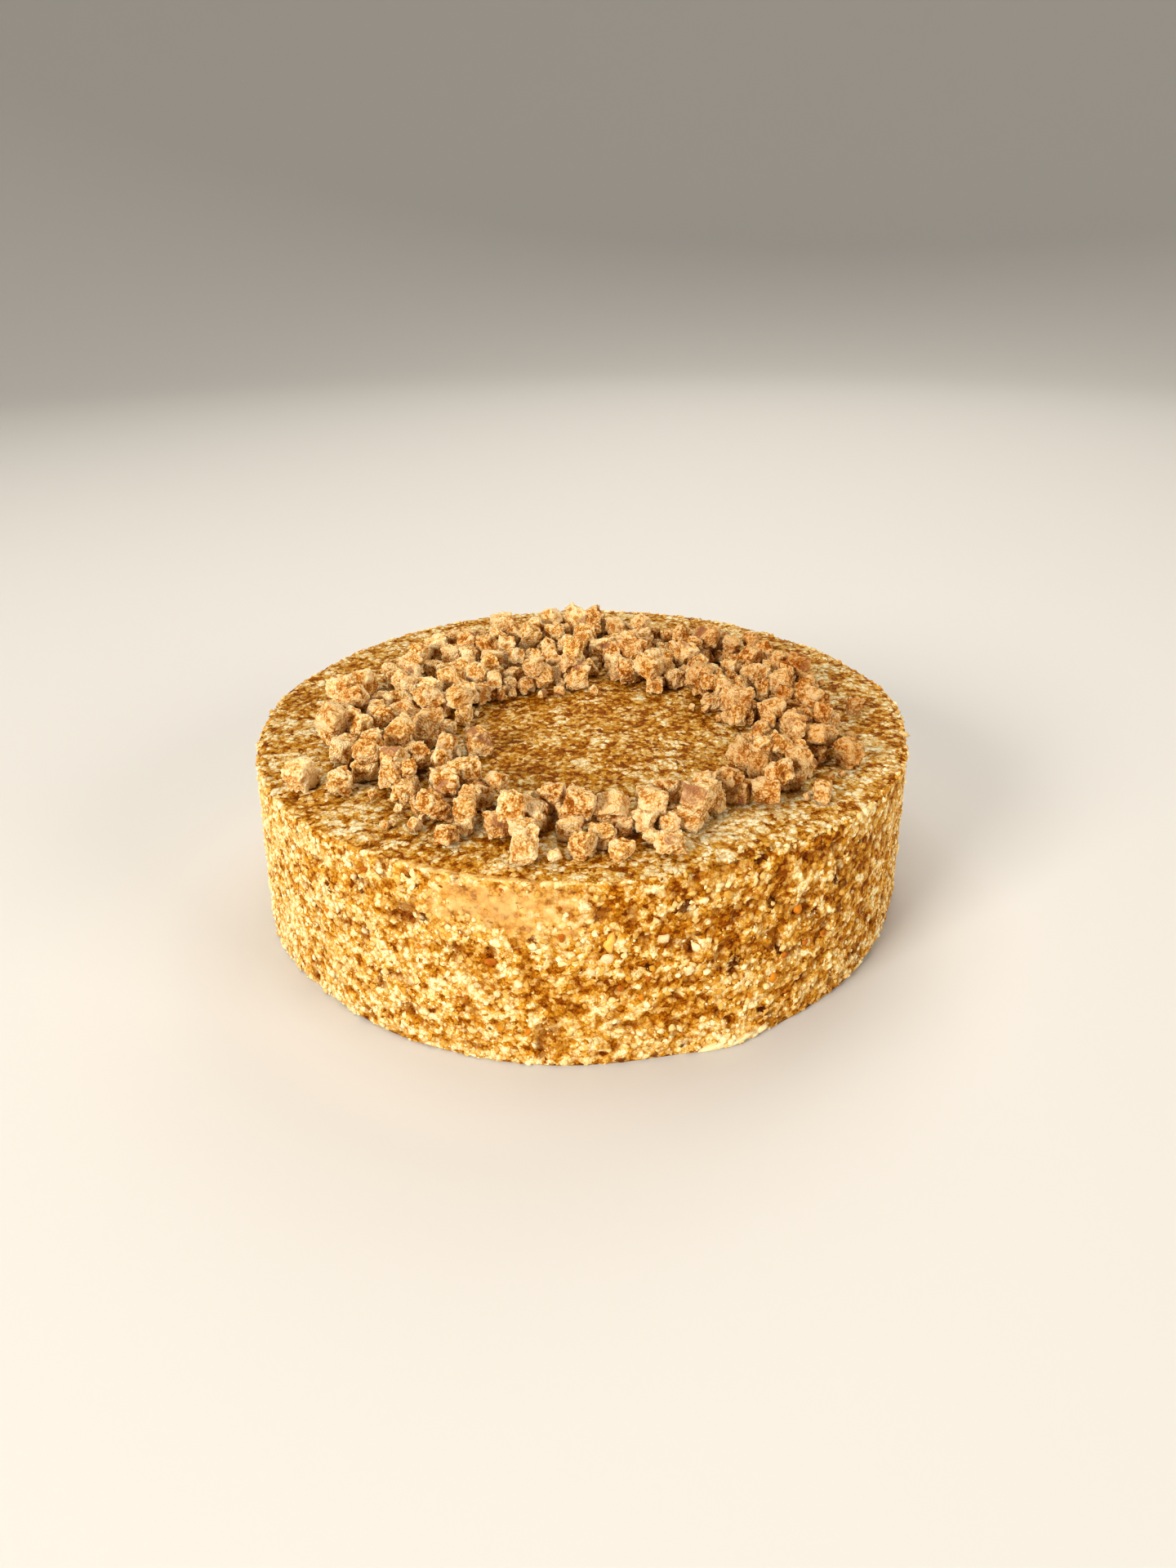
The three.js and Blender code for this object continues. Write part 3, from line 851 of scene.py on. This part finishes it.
def grain_finish(name, speck_scale, speck_depth, **values):
    """Finish of a kind of grain: its own colour, pitted at a fine scale, with painted shade in the pits."""
    finish, tree, shader = new_finish(name, **values)
    speck = add_node(tree, "ShaderNodeGroup", node_tree=speckle)
    speck.inputs["Scale"].default_value = speck_scale
    speck.inputs["Depth"].default_value = speck_depth
    tree.links.new(layer_value(tree, "tint", "Color"), speck.inputs["Tint"])
    dress(tree, shader, speck, GRAIN_RELIEF)
    return finish


GRAIN_FINISHES = {
    "date": grain_finish("date_grain", 1100.0, 0.6, Roughness=0.45, Specular_IOR_Level=0.05),
    "meal": grain_finish("meal_grain", 1300.0, 0.6, Roughness=0.66, Specular_IOR_Level=0.03),
    "pale_nut": grain_finish("pale_nut_grain", 1200.0, 0.5, Roughness=0.58, Specular_IOR_Level=0.08),
    "date_skin": grain_finish("date_skin_grain", 1100.0, 0.5, Roughness=0.5, Specular_IOR_Level=0.05),
}


def top_frame(x, y):
    """Places on the pressed top, with the two level directions and the way up."""
    places = np.stack([x, y, top_level(x, y)], axis=-1)
    across, along, up = (np.broadcast_to(axis, places.shape) for axis in np.eye(3))
    return places, across, along, up


def away_from(x, y, circle):
    """Distance from the middle of a circle."""
    return np.hypot(x - circle["x"], y - circle["y"])


def strewn(wall_spacing, top_spacing, draws):
    """Uneven lattice of places over the crust: staggered rows round the wall and squares on the top, each
    moved a little. Gives their frames, which are on the wall, the depth of the crumbled surface there, the
    share of nut and the share of smeared paste."""
    columns = int(2 * np.pi * TOP_RADIUS / wall_spacing)
    lines = int(CAKE_HEIGHT / wall_spacing)
    column, line = (side.ravel() for side in np.meshgrid(np.arange(columns), np.arange(lines), indexing="ij"))
    column = column + 0.5 * (line % 2) + draws.uniform(-LATTICE_SHIFT, LATTICE_SHIFT, column.size)
    line = line + 0.5 + draws.uniform(-LATTICE_SHIFT, LATTICE_SHIFT, line.size)
    bearing = np.angle(np.exp(2j * np.pi * column / columns))
    height = line * CAKE_HEIGHT / lines
    on_wall = wall_frame(bearing, height)
    smear = smooth_share(bearing, height)
    steps = int(TOP_RADIUS / top_spacing)
    step = np.arange(-steps, steps + 1) * top_spacing
    x, y = (side.ravel() for side in np.meshgrid(step, step, indexing="ij"))
    x = x + LATTICE_SHIFT * top_spacing * draws.uniform(-1, 1, x.size)
    y = y + LATTICE_SHIFT * top_spacing * draws.uniform(-1, 1, y.size)
    inside = np.hypot(x, y) < wall_radius(np.arctan2(y, x), CAKE_HEIGHT) - RIM_ROUNDING
    under_fruit = (away_from(x, y, RING) < RING["radius"]) & (away_from(x, y, HOLE) > HOLE["radius"])
    inside &= ~under_fruit | (draws.uniform(0, 1, x.size) > RING_COVER)
    on_top = top_frame(x[inside], y[inside])
    frames = [np.concatenate([one, other]) for one, other in zip(on_wall, on_top)]
    on_wall_nut = nut_share(on_wall[0], wall_trend(bearing, height))
    on_top_nut = nut_share(on_top[0], top_trend(x[inside], y[inside]), TOP_PATCHES)
    on_wall_depth = wall_depth(on_wall[0], smear, on_wall_nut)
    depth = np.concatenate([on_wall_depth, crumbled(on_top[0], on_top_nut, TOP_CRUMB)])
    nut = np.concatenate([on_wall_nut, on_top_nut])
    smear = np.concatenate([smear, np.zeros(inside.sum())])
    return frames, np.arange(len(depth)) < len(bearing), depth, nut, smear


def grain_piece(name, frames, size, depth, crown, tint, paste, finish, draws, lay=None, **form):
    """One kind of grain, joined in a piece: each grain half sunk in the crumbled surface at its depth."""
    count = len(size)
    if lay is None:
        lay = (draws.uniform(1.0, MOST_STRETCH, count) ** 0.5, draws.uniform(0, 2 * np.pi, count))
    stretch, turn = lay
    sunk = depth + size * draws.uniform(0.0, SUNK_SHARE, count)
    crown = np.minimum(size * crown, sunk + PROUD_LIMIT)
    points, faces = beads(frames, size, sunk, crown, stretch, turn, draws, **form)
    piece = add_piece(name, points, faces, finish)
    paint(piece, "tint", coated(tint, paste, draws, **form))
    grain_map(piece, count)


def grain_pieces(group, sizes, draws):
    """Strews grains of one range of sizes over the crust. How pale each is comes from the nut of its patch
    and from its own draw, and that makes its kind. A few are bits of dark skin. Smears have hardly any."""
    frames, on_wall, depth, nut, smear = strewn(sizes["wall_spacing"], sizes["top_spacing"], draws)
    count = len(depth)
    size = sizes["least"] + sizes["range"] * draws.uniform(0, 1, count) ** SMALL_GRAINS
    crown = np.where(on_wall, 1.0, TOP_LOWNESS) * sizes["lowness"] * draws.uniform(*CROWN_RANGE, count)
    pale = NUT_WEIGHT * nut + (1 - NUT_WEIGHT) * draws.uniform(0, 1, count)
    pale = np.clip(0.5 + PALE_CONTRAST * (pale - 0.5), 0, 1)
    to_right = rightness(np.arctan2(frames[0][:, 1], frames[0][:, 0]))
    skin_share = np.where(on_wall, SKIN_SHARE["wall"] + SKIN_SHARE["right"] * to_right**2, SKIN_SHARE["top"])
    skin = draws.uniform(0, 1, count) < skin_share
    size[skin] *= SKIN_SHARE["size"]
    left_out = np.interp(pale, LEFT_OUT["pale"], LEFT_OUT["share"]) * ~skin + LEFT_OUT["smear"] * smear
    kept = draws.uniform(0, 1, count) > left_out
    tone = np.where(on_wall[:, None], WALL_TONE, TOP_TONE)
    paste = crust_shade(NUT_PART * nut + 0.5 - 0.5 * NUT_PART) * tone
    tint = crust_shade(pale) * tone * draws.uniform(*TINT_RANGE, (count, 1))
    tint[skin] = SKIN_SHADES[draws.integers(0, len(SKIN_SHADES), skin.sum())]
    for kind, finish in GRAIN_FINISHES.items():
        low, high = GRAIN_LIMITS.get(kind, (0.0, 0.0))
        own = kept & (skin if kind == "date_skin" else ~skin & (pale >= low) & (pale < high))
        own_frames = [side[own] for side in frames]
        own_values = (values[own] for values in (size, depth, crown, tint, paste))
        grain_piece(f"{kind}_{group}", own_frames, *own_values, finish, draws, **sizes["form"])


for group, sizes in GRAIN_SIZES.items():
    grain_pieces(group, sizes, grain_draws)

# Larger bits in the crust: coarse pieces of nut and lumps of date that the grinder left, a few millimetres
# wide, pressed in level with the grains. Those that catch the eye are set where they show: pale and yellow
# nut, red and amber date, dark skin, and slivers of pale paste squeezed out along the foot.
LUMP_SEED = 44
LUMPS = {
    "wall_spacing": 7.0, "top_spacing": 8.0, "least": 1.5, "range": 1.5, "lowness": 0.75,
    "form": {"sides": 7, "rings": ((0.62, 0.8), (1.0, 0.1))},
}
# Each kind of bit: its colour, then degrees round from the front, height on the wall, width and height.
WALL_BITS = {
    "cream": ((0.80, 0.62, 0.36), [
        (3, 29, 3.8, 3.4), (1, 26, 3.2, 2.8), (25, 44, 1.8, 2), (11, 33, 3.6, 3), (15, 24, 3.4, 4),
        (-34, 27, 2.4, 2), (-30, 25, 2.2, 2), (-35, 41, 2.4, 2.2),
    ]),
    "foot_lip": ((0.92, 0.76, 0.42), [(19, 1.3, 10, 2.4), (23, 1.5, 9, 2.2), (27, 1.7, 6, 1.9)]),
    "yellow": ((0.93, 0.51, 0.11), [(3.5, 33.5, 3, 6.8), (-20, 34, 2.4, 1.9)]),
    "amber": ((0.56, 0.185, 0.008), [
        (-18, 18, 2.9, 2.2), (-42, 28, 3.6, 3), (-8, 10, 2.3, 2.8), (-24, 28, 1.9, 1.5),
        (8, 18, 2.1, 2.6), (25, 12, 2.8, 2.1), (33, 31, 2.9, 3.3), (29, 15, 2.2, 3.3),
    ]),
    "red": ((0.38, 0.088, 0.003), [
        (-13, 28, 3.1, 2.7), (-17, 17, 1.6, 1.7), (-33, 44, 3.2, 2.1), (-11, 46.5, 1.8, 1.5),
        (-3, 35, 2.2, 3.4), (9, 23, 2.6, 2.1), (5, 21, 2.4, 2.1), (31, 20, 2.7, 2.3),
        (35, 21, 2.2, 2.3), (39, 21, 2.5, 1.9),
    ]),
    "skin": ((0.12, 0.026, 0.002), [
        (-25, 46, 2, 1.5), (28, 5, 2.3, 2.1), (16, 33, 1.8, 1.7), (28, 24, 2.2, 2.2),
        (5, 1.2, 2.7, 1.6), (10, 1.5, 2.3, 2), (42, 26, 2.8, 3), (43, 32, 3.2, 2.7),
    ]),
}
BIT_FULL = 0.9
BIT_DEPTH = 0.5
BIT_CROWN = 0.32
BIT_TURN = 0.3
lump_draws = np.random.default_rng(LUMP_SEED)
grain_pieces("lumps", LUMPS, lump_draws)
bit_turn, bit_height, bit_width, bit_tall = np.concatenate([spots for _, spots in WALL_BITS.values()]).T
bit_tint = np.concatenate([[tint] * len(spots) for tint, spots in WALL_BITS.values()])
bit_count = len(bit_tint)
grain_piece(
    "wall_bits",
    wall_frame(FRONT + np.radians(bit_turn), bit_height),
    BIT_FULL * np.sqrt(bit_width * bit_tall),
    np.full(bit_count, BIT_DEPTH),
    np.full(bit_count, BIT_CROWN),
    bit_tint,
    np.broadcast_to(CRUST_SHADES[2], (bit_count, 3)),
    GRAIN_FINISHES["pale_nut"],
    lump_draws,
    (np.sqrt(bit_width / bit_tall), lump_draws.uniform(-BIT_TURN, BIT_TURN, bit_count)),
    **LUMPS["form"],
)

# Ring of dried fruit: small dice cut from firm fruit, dried until they shrivel and dusted with ground
# spice, then strewn on the top in a loose ring, one and two deep.
DRAW_MULTIPLIER = 16807
DRAW_MODULUS = 2147483647
RING_SEED = 2718
DICE_COUNT = 330
RING_SHRINK = 0.9
DICE_SIZE = 5.8
DICE_SPREAD = 0.28
HEAP_LIMIT = 8.5
NESTING = 0.82
TRIES = 5
DICE_GAP = 0.3
EDGE_UNEVEN = 0.18
CORNER_PINCH = 0.32
FLAT_TILT = 0.2
LOOSE_TILT = 0.8
STRAY_SEED = 2027
STRAYS = [
    (-68.7, -44.2, 6.8), (-58.2, -48.0, 5.6), (-29.8, -73.5, 4.8), (-12.3, -80.5, 6.8),
    (0.1, -78.5, 5.2), (8.2, -80.0, 4.0), (19.0, -78.0, 5.2), (56.9, -55.4, 5.0),
    (67.3, -36.9, 6.4), (76.4, -5.0, 4.6), (-26.9, -26.6, 6.6),
]
DIE_SINK = 0.4
DIE_FULL = 1.15
DIE_ROUND = 0.26
DIE_BALL = 1.25
DIE_CUTS = {"count": 4, "from": (0.42, 0.60), "share": 0.92, "edge": 0.06, "bare_to": 0.14, "peel_from": 0.9}
DIE_NOTCHES = {"count": 2, "reach": (0.22, 0.40), "place": 0.62, "depth": 0.9}
DENT_WIDTH = 2.4
KNOB_WIDTH = 1.5
GRIT_WIDTH = 0.9
SMOOTH_SIDE = 0.55
RISE = {"dents": 0.7, "knobs": 0.66, "grit": 0.7, "less": 0.6}
HOLLOW = {"dents": 0.7, "knobs": 0.8, "grit": 1.0, "less": 0.7, "bitten": 0.5}
SHEET_FULL = 0.46
MERGE_DIGITS = 9
NOISE_SPAN = 900
SEED_STEP = 20
CORNER_SIGNS = np.array([[1 if corner >> axis & 1 else -1 for axis in range(3)] for corner in range(8)])


def seeded_draws(seed):
    """Endless repeatable draws from 0 to 1: each state is the last one times a multiplier, modulo a prime."""
    state = seed
    while True:
        state = state * DRAW_MULTIPLIER % DRAW_MODULUS
        yield state / DRAW_MODULUS


def die_corners(draw, size, tilt_limit):
    """Eight corners of a die about its centre: a box of uneven edges, its corners drawn in, then turned,
    tilted and turned again."""
    half = 0.5 * size * (1 + EDGE_UNEVEN * (2 * np.array([next(draw) for _ in range(3)]) - 1))
    pinch = 1 - CORNER_PINCH * np.array([next(draw) for _ in range(8)])
    spin, tilt, turn = 2 * np.pi * next(draw), tilt_limit * next(draw), 2 * np.pi * next(draw)
    way = Matrix.Rotation(spin, 3, "Z") @ Matrix.Rotation(tilt, 3, "X") @ Matrix.Rotation(turn, 3, "Z")
    return (pinch[:, None] * CORNER_SIGNS * half) @ np.array(way).T


def apart(place, corners, other_place, other_corners):
    """True when a gap shows between two dice along the level line through their centres."""
    away = np.array(other_place[:2]) - place[:2]
    distance = np.hypot(*away)
    reach = (corners[:, :2] @ away).max() - (other_corners[:, :2] @ away).min()
    return reach / distance + DICE_GAP < distance


def drawn_in(draw, middle, reach):
    """Next draw, spread evenly to both sides of a middle."""
    return middle + reach * (2 * next(draw) - 1)


stray_draw = seeded_draws(STRAY_SEED)
stray_corners = [die_corners(stray_draw, size, FLAT_TILT) for _, _, size in STRAYS]
stray_places = [(x, y, -corners[:, 2].min()) for (x, y, _), corners in zip(STRAYS, stray_corners)]

ring_draw = seeded_draws(RING_SEED)
ring_places, ring_corners, ring_sizes = np.empty((0, 3)), [], np.empty(0)
while len(ring_sizes) < DICE_COUNT:
    size = DICE_SIZE * drawn_in(ring_draw, 1, DICE_SPREAD)
    best = (0.0, 0.0, HEAP_LIMIT)
    for _ in range(TRIES):
        x = drawn_in(ring_draw, RING["x"], RING["radius"])
        y = drawn_in(ring_draw, RING["y"], RING["radius"])
        within = away_from(x, y, RING) < RING["radius"] - 0.5 * size
        beyond = away_from(x, y, HOLE) > HOLE["radius"] + 0.5 * size
        reach = 0.5 * NESTING * (size + ring_sizes)
        room = reach**2 - (ring_places[:, 0] - x) ** 2 - (ring_places[:, 1] - y) ** 2
        resting = np.where(room > 0, ring_places[:, 2] + np.sqrt(np.maximum(room, 0)), 0)
        height = max(0.5 * size, resting.max(initial=0))
        if within and beyond and height < best[2]:
            best = (x, y, height)
    raised = best[2] > 0.5 * size
    corners = die_corners(ring_draw, size, LOOSE_TILT if raised else FLAT_TILT)
    place = np.array([best[0], best[1], max(best[2] if raised else 0, -corners[:, 2].min())])
    clear = all(apart(place, corners, other, shape) for other, shape in zip(stray_places, stray_corners))
    if best[2] < HEAP_LIMIT and clear:
        ring_places = np.vstack([ring_places, place])
        ring_corners.append(corners)
        ring_sizes = np.append(ring_sizes, size)


def die_grid(steps):
    """Closed cube of steps by steps squares a side: its points without doubles, its squares facing out,
    and for each square's corners their place on a sheet of six sides."""
    line = np.linspace(-1.0, 1.0, steps + 1)
    one, other = np.meshgrid(line, line, indexing="ij")
    side_squares = grid_squares(np.arange(one.size).reshape(one.shape))
    sides, squares, sheet = [], [], []
    for axis in range(3):
        for sign in (-1.0, 1.0):
            side = np.empty((one.size, 3))
            side[:, axis] = sign
            side[:, (axis + 1) % 3] = (one if sign > 0 else other).ravel()
            side[:, (axis + 2) % 3] = (other if sign > 0 else one).ravel()
            cell = len(sides)
            flat = np.column_stack([one.ravel(), other.ravel()]) * SHEET_FULL + 0.5
            sheet.append((flat + [cell % 3, cell // 3]) / [3, 2])
            squares.append(side_squares + cell * one.size)
            sides.append(side)
    points, merged = np.unique(np.round(np.concatenate(sides), MERGE_DIGITS), axis=0, return_inverse=True)
    squares = np.concatenate(squares)
    return points, merged.ravel()[squares], np.concatenate(sheet)[squares]


def drawn_ways(draws, count):
    """One direction for each die, even over the sphere."""
    ways = draws.normal(size=(count, 1, 3))
    return ways / np.linalg.norm(ways, axis=-1, keepdims=True)


def shrivelled_dice(places, corners, sizes, steps, seed):
    """Craggy dice: a rounded cube grid carried to each die's corners by the product of its three shares, cut
    by a few flat planes, bitten by a few round notches, then raised and sunk along the line from its centre
    by noise and by lumps of two sizes. Gives the points, the squares, their places on the sheet, how hollow
    each point is, and its share of a bare cut side and of a side with peel."""
    points, squares, sheet = die_grid(steps)
    count = len(sizes)
    width = sizes[:, None]
    draws = np.random.default_rng(seed)
    ball = points / np.linalg.norm(points, axis=1, keepdims=True) * DIE_BALL
    soft = points * (1 - DIE_ROUND) + ball * DIE_ROUND
    shares = ((1 + soft[:, None] * CORNER_SIGNS[None]) / 2).prod(axis=-1)
    shape = DIE_FULL * np.einsum("pk,dkc->dpc", shares, corners)
    bare = np.zeros(shape.shape[:2])
    peel = np.zeros_like(bare)
    bitten = np.zeros_like(bare)
    for _ in range(DIE_CUTS["count"]):
        way = drawn_ways(draws, count)
        over = (shape * way).sum(axis=-1) - width * draws.uniform(*DIE_CUTS["from"], (count, 1))
        shape = shape - way * (DIE_CUTS["share"] * np.maximum(over, 0))[..., None]
        facing = np.clip(over / (DIE_CUTS["edge"] * width), 0, 1)
        pick = draws.uniform(0, 1, (count, 1))
        bare = np.maximum(bare, facing * (pick < DIE_CUTS["bare_to"]))
        peel = np.maximum(peel, facing * (pick > DIE_CUTS["peel_from"]))
    for _ in range(DIE_NOTCHES["count"]):
        way = drawn_ways(draws, count)
        reach = width * draws.uniform(*DIE_NOTCHES["reach"], (count, 1))
        away = np.linalg.norm(shape - way * (DIE_NOTCHES["place"] * width)[..., None], axis=-1)
        bite = np.clip(1 - away / reach, 0, 1)
        shape = shape - way * (DIE_NOTCHES["depth"] * reach * bite)[..., None]
        bitten = np.maximum(bitten, bite)
    out = shape / np.linalg.norm(shape, axis=-1, keepdims=True)
    own = shape + draws.uniform(0, NOISE_SPAN, (count, 1, 3))
    dents = soft_noise(own, DENT_WIDTH, seed + 1) - 0.5
    knobs = crumb_lumps(own, KNOB_WIDTH, seed + 2)
    grit = crumb_lumps(own, GRIT_WIDTH, seed + 6)
    rough = 1 - SMOOTH_SIDE * np.maximum(bare, peel)
    rise = RISE["dents"] * dents + rough * (RISE["knobs"] * knobs + RISE["grit"] * grit - RISE["less"])
    shape = shape + out * (rise * width / DICE_SIZE)[..., None]
    crags = HOLLOW["knobs"] * knobs + HOLLOW["grit"] * grit - HOLLOW["less"]
    hollow = np.clip(0.5 - HOLLOW["dents"] * dents - rough * crags + HOLLOW["bitten"] * bitten, 0, 1)
    lift = np.array([0, 0, CAKE_HEIGHT + DICE_GAP - DIE_SINK])
    shape = shape + (places + lift)[:, None]
    faces = (squares[None] + len(points) * np.arange(count)[:, None, None]).reshape(-1, 4)
    return shape.reshape(-1, 3), faces.tolist(), sheet, {"hollow": hollow, "bare": bare, "peel": peel}


FRUIT_COLOURS = ("Flesh", "Spice", "Bare", "Peel")
FRUIT_LAYERS = {"Hollow": "hollow", "Bare Share": "bare", "Peel Share": "peel", "Shade": "shade"}
FRUIT_SHADES = {
    "golden": ((0.94, 0.56, 0.165, 1.0), (0.45, 0.14, 0.010, 1.0)),
    "pale": ((0.97, 0.645, 0.26, 1.0), (0.56, 0.21, 0.025, 1.0)),
    "browned": ((0.90, 0.49, 0.13, 1.0), (0.37, 0.105, 0.006, 1.0)),
}
# Pale colour of the bare cut sides, also laid on the ridges as a painted highlight.
FRUIT_BARE_AND_HIGHLIGHT = (0.99, 0.77, 0.43, 1.0)
FRUIT_PEEL = (0.42, 0.185, 0.08, 1.0)
# Colour that darkens each die by its shade value: a random tone of its own, and painted shade on the dice to
# the right.
DICE_TONE_AND_SHADE = (0.62, 0.43, 0.24, 1.0)
GRANULE_SCALE = 1750.0
DUST_NOISE = (1500.0, 4.0, 0.7)
PATCH_NOISE = (330.0, 2.0, 0.5)
GRANULE_GAP = (0.20, 0.62)
GRANULE_SHARE = 0.45
RIDGE_PAINTED_HIGHLIGHT = (1.27, 0.90)
SPICE_DUST_AND_SHADE = (1.18, 1.68)
BARE_PATCH = (0.30, 0.62)
PEEL_PATCH = (0.72, 0.45)
FRUIT_RELIEF = 0.85
MOST_BROWNING = 0.42
RIGHT_PAINTED_SHADE = 0.6
porous, porous_in, porous_out, porous_where = new_group(
    "porous_fruit",
    dict.fromkeys(FRUIT_COLOURS, COLOUR) | dict.fromkeys(FRUIT_LAYERS, NUMBER),
    {"Colour": COLOUR, "Height": NUMBER},
)
granules = cell_pattern(porous, porous_where, GRANULE_SCALE)["Distance"]
dusting = noise_pattern(porous, porous_where, *DUST_NOISE)["Fac"]
patches = noise_pattern(porous, porous_where, *PATCH_NOISE)["Fac"]
# Painted shade and highlight: the hollows and the gaps between granules take the spice colour, partly spice
# dust and partly painted shade, and the ridges take the bare colour as a painted highlight.
between = reckoned(porous, "MULTIPLY", stretched(porous, granules, *GRANULE_GAP), GRANULE_SHARE)
dust_and_hollow_shade = reckoned(porous, "ADD", reckoned(porous, "ADD", dusting, porous_in["Hollow"]), between)
fruit = mixed(porous, stretched(porous, dust_and_hollow_shade, *SPICE_DUST_AND_SHADE), porous_in["Flesh"], porous_in["Spice"])
fruit = mixed(porous, stretched(porous, dust_and_hollow_shade, *RIDGE_PAINTED_HIGHLIGHT), fruit, porous_in["Bare"])
for side, spread in (("Bare", BARE_PATCH), ("Peel", PEEL_PATCH)):
    patched = reckoned(porous, "MULTIPLY", stretched(porous, patches, *spread), porous_in[f"{side} Share"])
    fruit = mixed(porous, patched, fruit, porous_in[side])
# Each die darkened by its shade value: its own random tone, plus painted shade towards the right.
fruit = mixed(porous, porous_in["Shade"], fruit, DICE_TONE_AND_SHADE, "MULTIPLY")
porous.links.new(fruit, porous_out["Colour"])
porous.links.new(reckoned(porous, "SUBTRACT", dusting, granules), porous_out["Height"])


def fruit_finish(name, shades):
    """Dried fruit: dry flesh with spice dust and painted shade in its hollows, a painted highlight on its
    ridges, paler on bare sides and browner on peel.
    """
    finish, tree, shader = new_finish(name, Roughness=0.7, Specular_IOR_Level=0.04)
    flesh = add_node(tree, "ShaderNodeGroup", node_tree=porous)
    for socket_name, shade in zip(FRUIT_COLOURS, shades):
        flesh.inputs[socket_name].default_value = shade
    for socket_name, layer in FRUIT_LAYERS.items():
        tree.links.new(layer_value(tree, layer), flesh.inputs[socket_name])
    dress(tree, shader, flesh, FRUIT_RELIEF)
    return finish


def dice_piece(name, places, corners, sizes, steps, seed, finish):
    """Some dice joined in one piece, each a little lighter or darker than the next, and darker to the right
    with painted shade. On its map each die has a cell of the sheet, with its six sides in it."""
    points, faces, sheet, layers = shrivelled_dice(places, corners, sizes, steps, seed)
    count = len(sizes)
    piece = add_piece(name, points, faces, finish)
    shade = np.random.default_rng(seed + 9).uniform(0, 1, count) ** 2 * MOST_BROWNING
    # Painted shade: dice further to the right are darker.
    shade = shade + RIGHT_PAINTED_SHADE * np.clip(places[:, 0] / RING["radius"], 0, 1)
    for layer, values in layers.items():
        paint(piece, layer, values.ravel())
    paint(piece, "shade", np.repeat(shade, len(points) // count))
    cells = int(np.ceil(np.sqrt(count)))
    die = np.arange(count)
    own_map(piece, (sheet[None] + np.column_stack([die % cells, die // cells])[:, None, None]) / cells)
    return piece


RING_STEPS = 12
DICE_SEED = 300
fruit_kinds = {}
for kind, shades in FRUIT_SHADES.items():
    fruit_kinds[kind] = fruit_finish(f"{kind}_fruit", (*shades, FRUIT_BARE_AND_HIGHLIGHT, FRUIT_PEEL))
ring_corners = RING_SHRINK * np.array(ring_corners)
ring_sizes = RING_SHRINK * ring_sizes
for k, (kind, finish) in enumerate(fruit_kinds.items()):
    own = slice(k, None, len(fruit_kinds))
    own_dice = (ring_places[own], ring_corners[own], ring_sizes[own])
    dice = dice_piece(f"{kind}_dice", *own_dice, RING_STEPS, DICE_SEED + SEED_STEP * k, finish)
    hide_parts("dried_fruit_ring")

# Stray dice: eleven dice of the same dried fruit, which rolled off the ring and lie flat on the bare crust.
# They are cut and dusted like the others, and each is a piece of its own.
STRAY_STEPS = 16
STRAY_SKIN_SEED = 400
for k, (place, corners, (_, _, size)) in enumerate(zip(stray_places, stray_corners, STRAYS)):
    one_die = (np.array([place]), corners[None], np.array([size]))
    finish = fruit_kinds["pale" if k % 3 == 0 else "golden"]
    stray = dice_piece(f"stray_die_{k + 1}", *one_die, STRAY_STEPS, STRAY_SKIN_SEED + SEED_STEP * k, finish)
    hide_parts(f"dried_fruit_die_{k + 1}")

# Fragments of fruit: corners and crumbs of the same dried flesh, which broke off the dice when they were
# strewn. They lie loose on the crust, between the dice and just outside the ring.
FRAGMENT_SEED = 515
FRAGMENT_COUNT = 120
FRAGMENT_STEPS = 5
FRAGMENT_SIZES = (1.5, 3.2)
FRAGMENT_MARGIN = 4.0
fragment_draw = seeded_draws(FRAGMENT_SEED)
fragment_places, fragment_corners, fragment_sizes = [], [], []
while len(fragment_sizes) < FRAGMENT_COUNT:
    x = drawn_in(fragment_draw, RING["x"], RING["radius"] + FRAGMENT_MARGIN)
    y = drawn_in(fragment_draw, RING["y"], RING["radius"] + FRAGMENT_MARGIN)
    size = FRAGMENT_SIZES[0] + (FRAGMENT_SIZES[1] - FRAGMENT_SIZES[0]) * next(fragment_draw) ** 2
    corners = die_corners(fragment_draw, size, LOOSE_TILT)
    within = away_from(x, y, RING) < RING["radius"] + FRAGMENT_MARGIN
    if within and away_from(x, y, HOLE) > HOLE["radius"] - FRAGMENT_MARGIN:
        fragment_places.append((x, y, -corners[:, 2].min()))
        fragment_corners.append(corners)
        fragment_sizes.append(size)
fragments = (np.array(fragment_places), np.array(fragment_corners), np.array(fragment_sizes))
dice_piece("fruit_fragments", *fragments, FRAGMENT_STEPS, FRAGMENT_SEED, fruit_kinds["pale"])
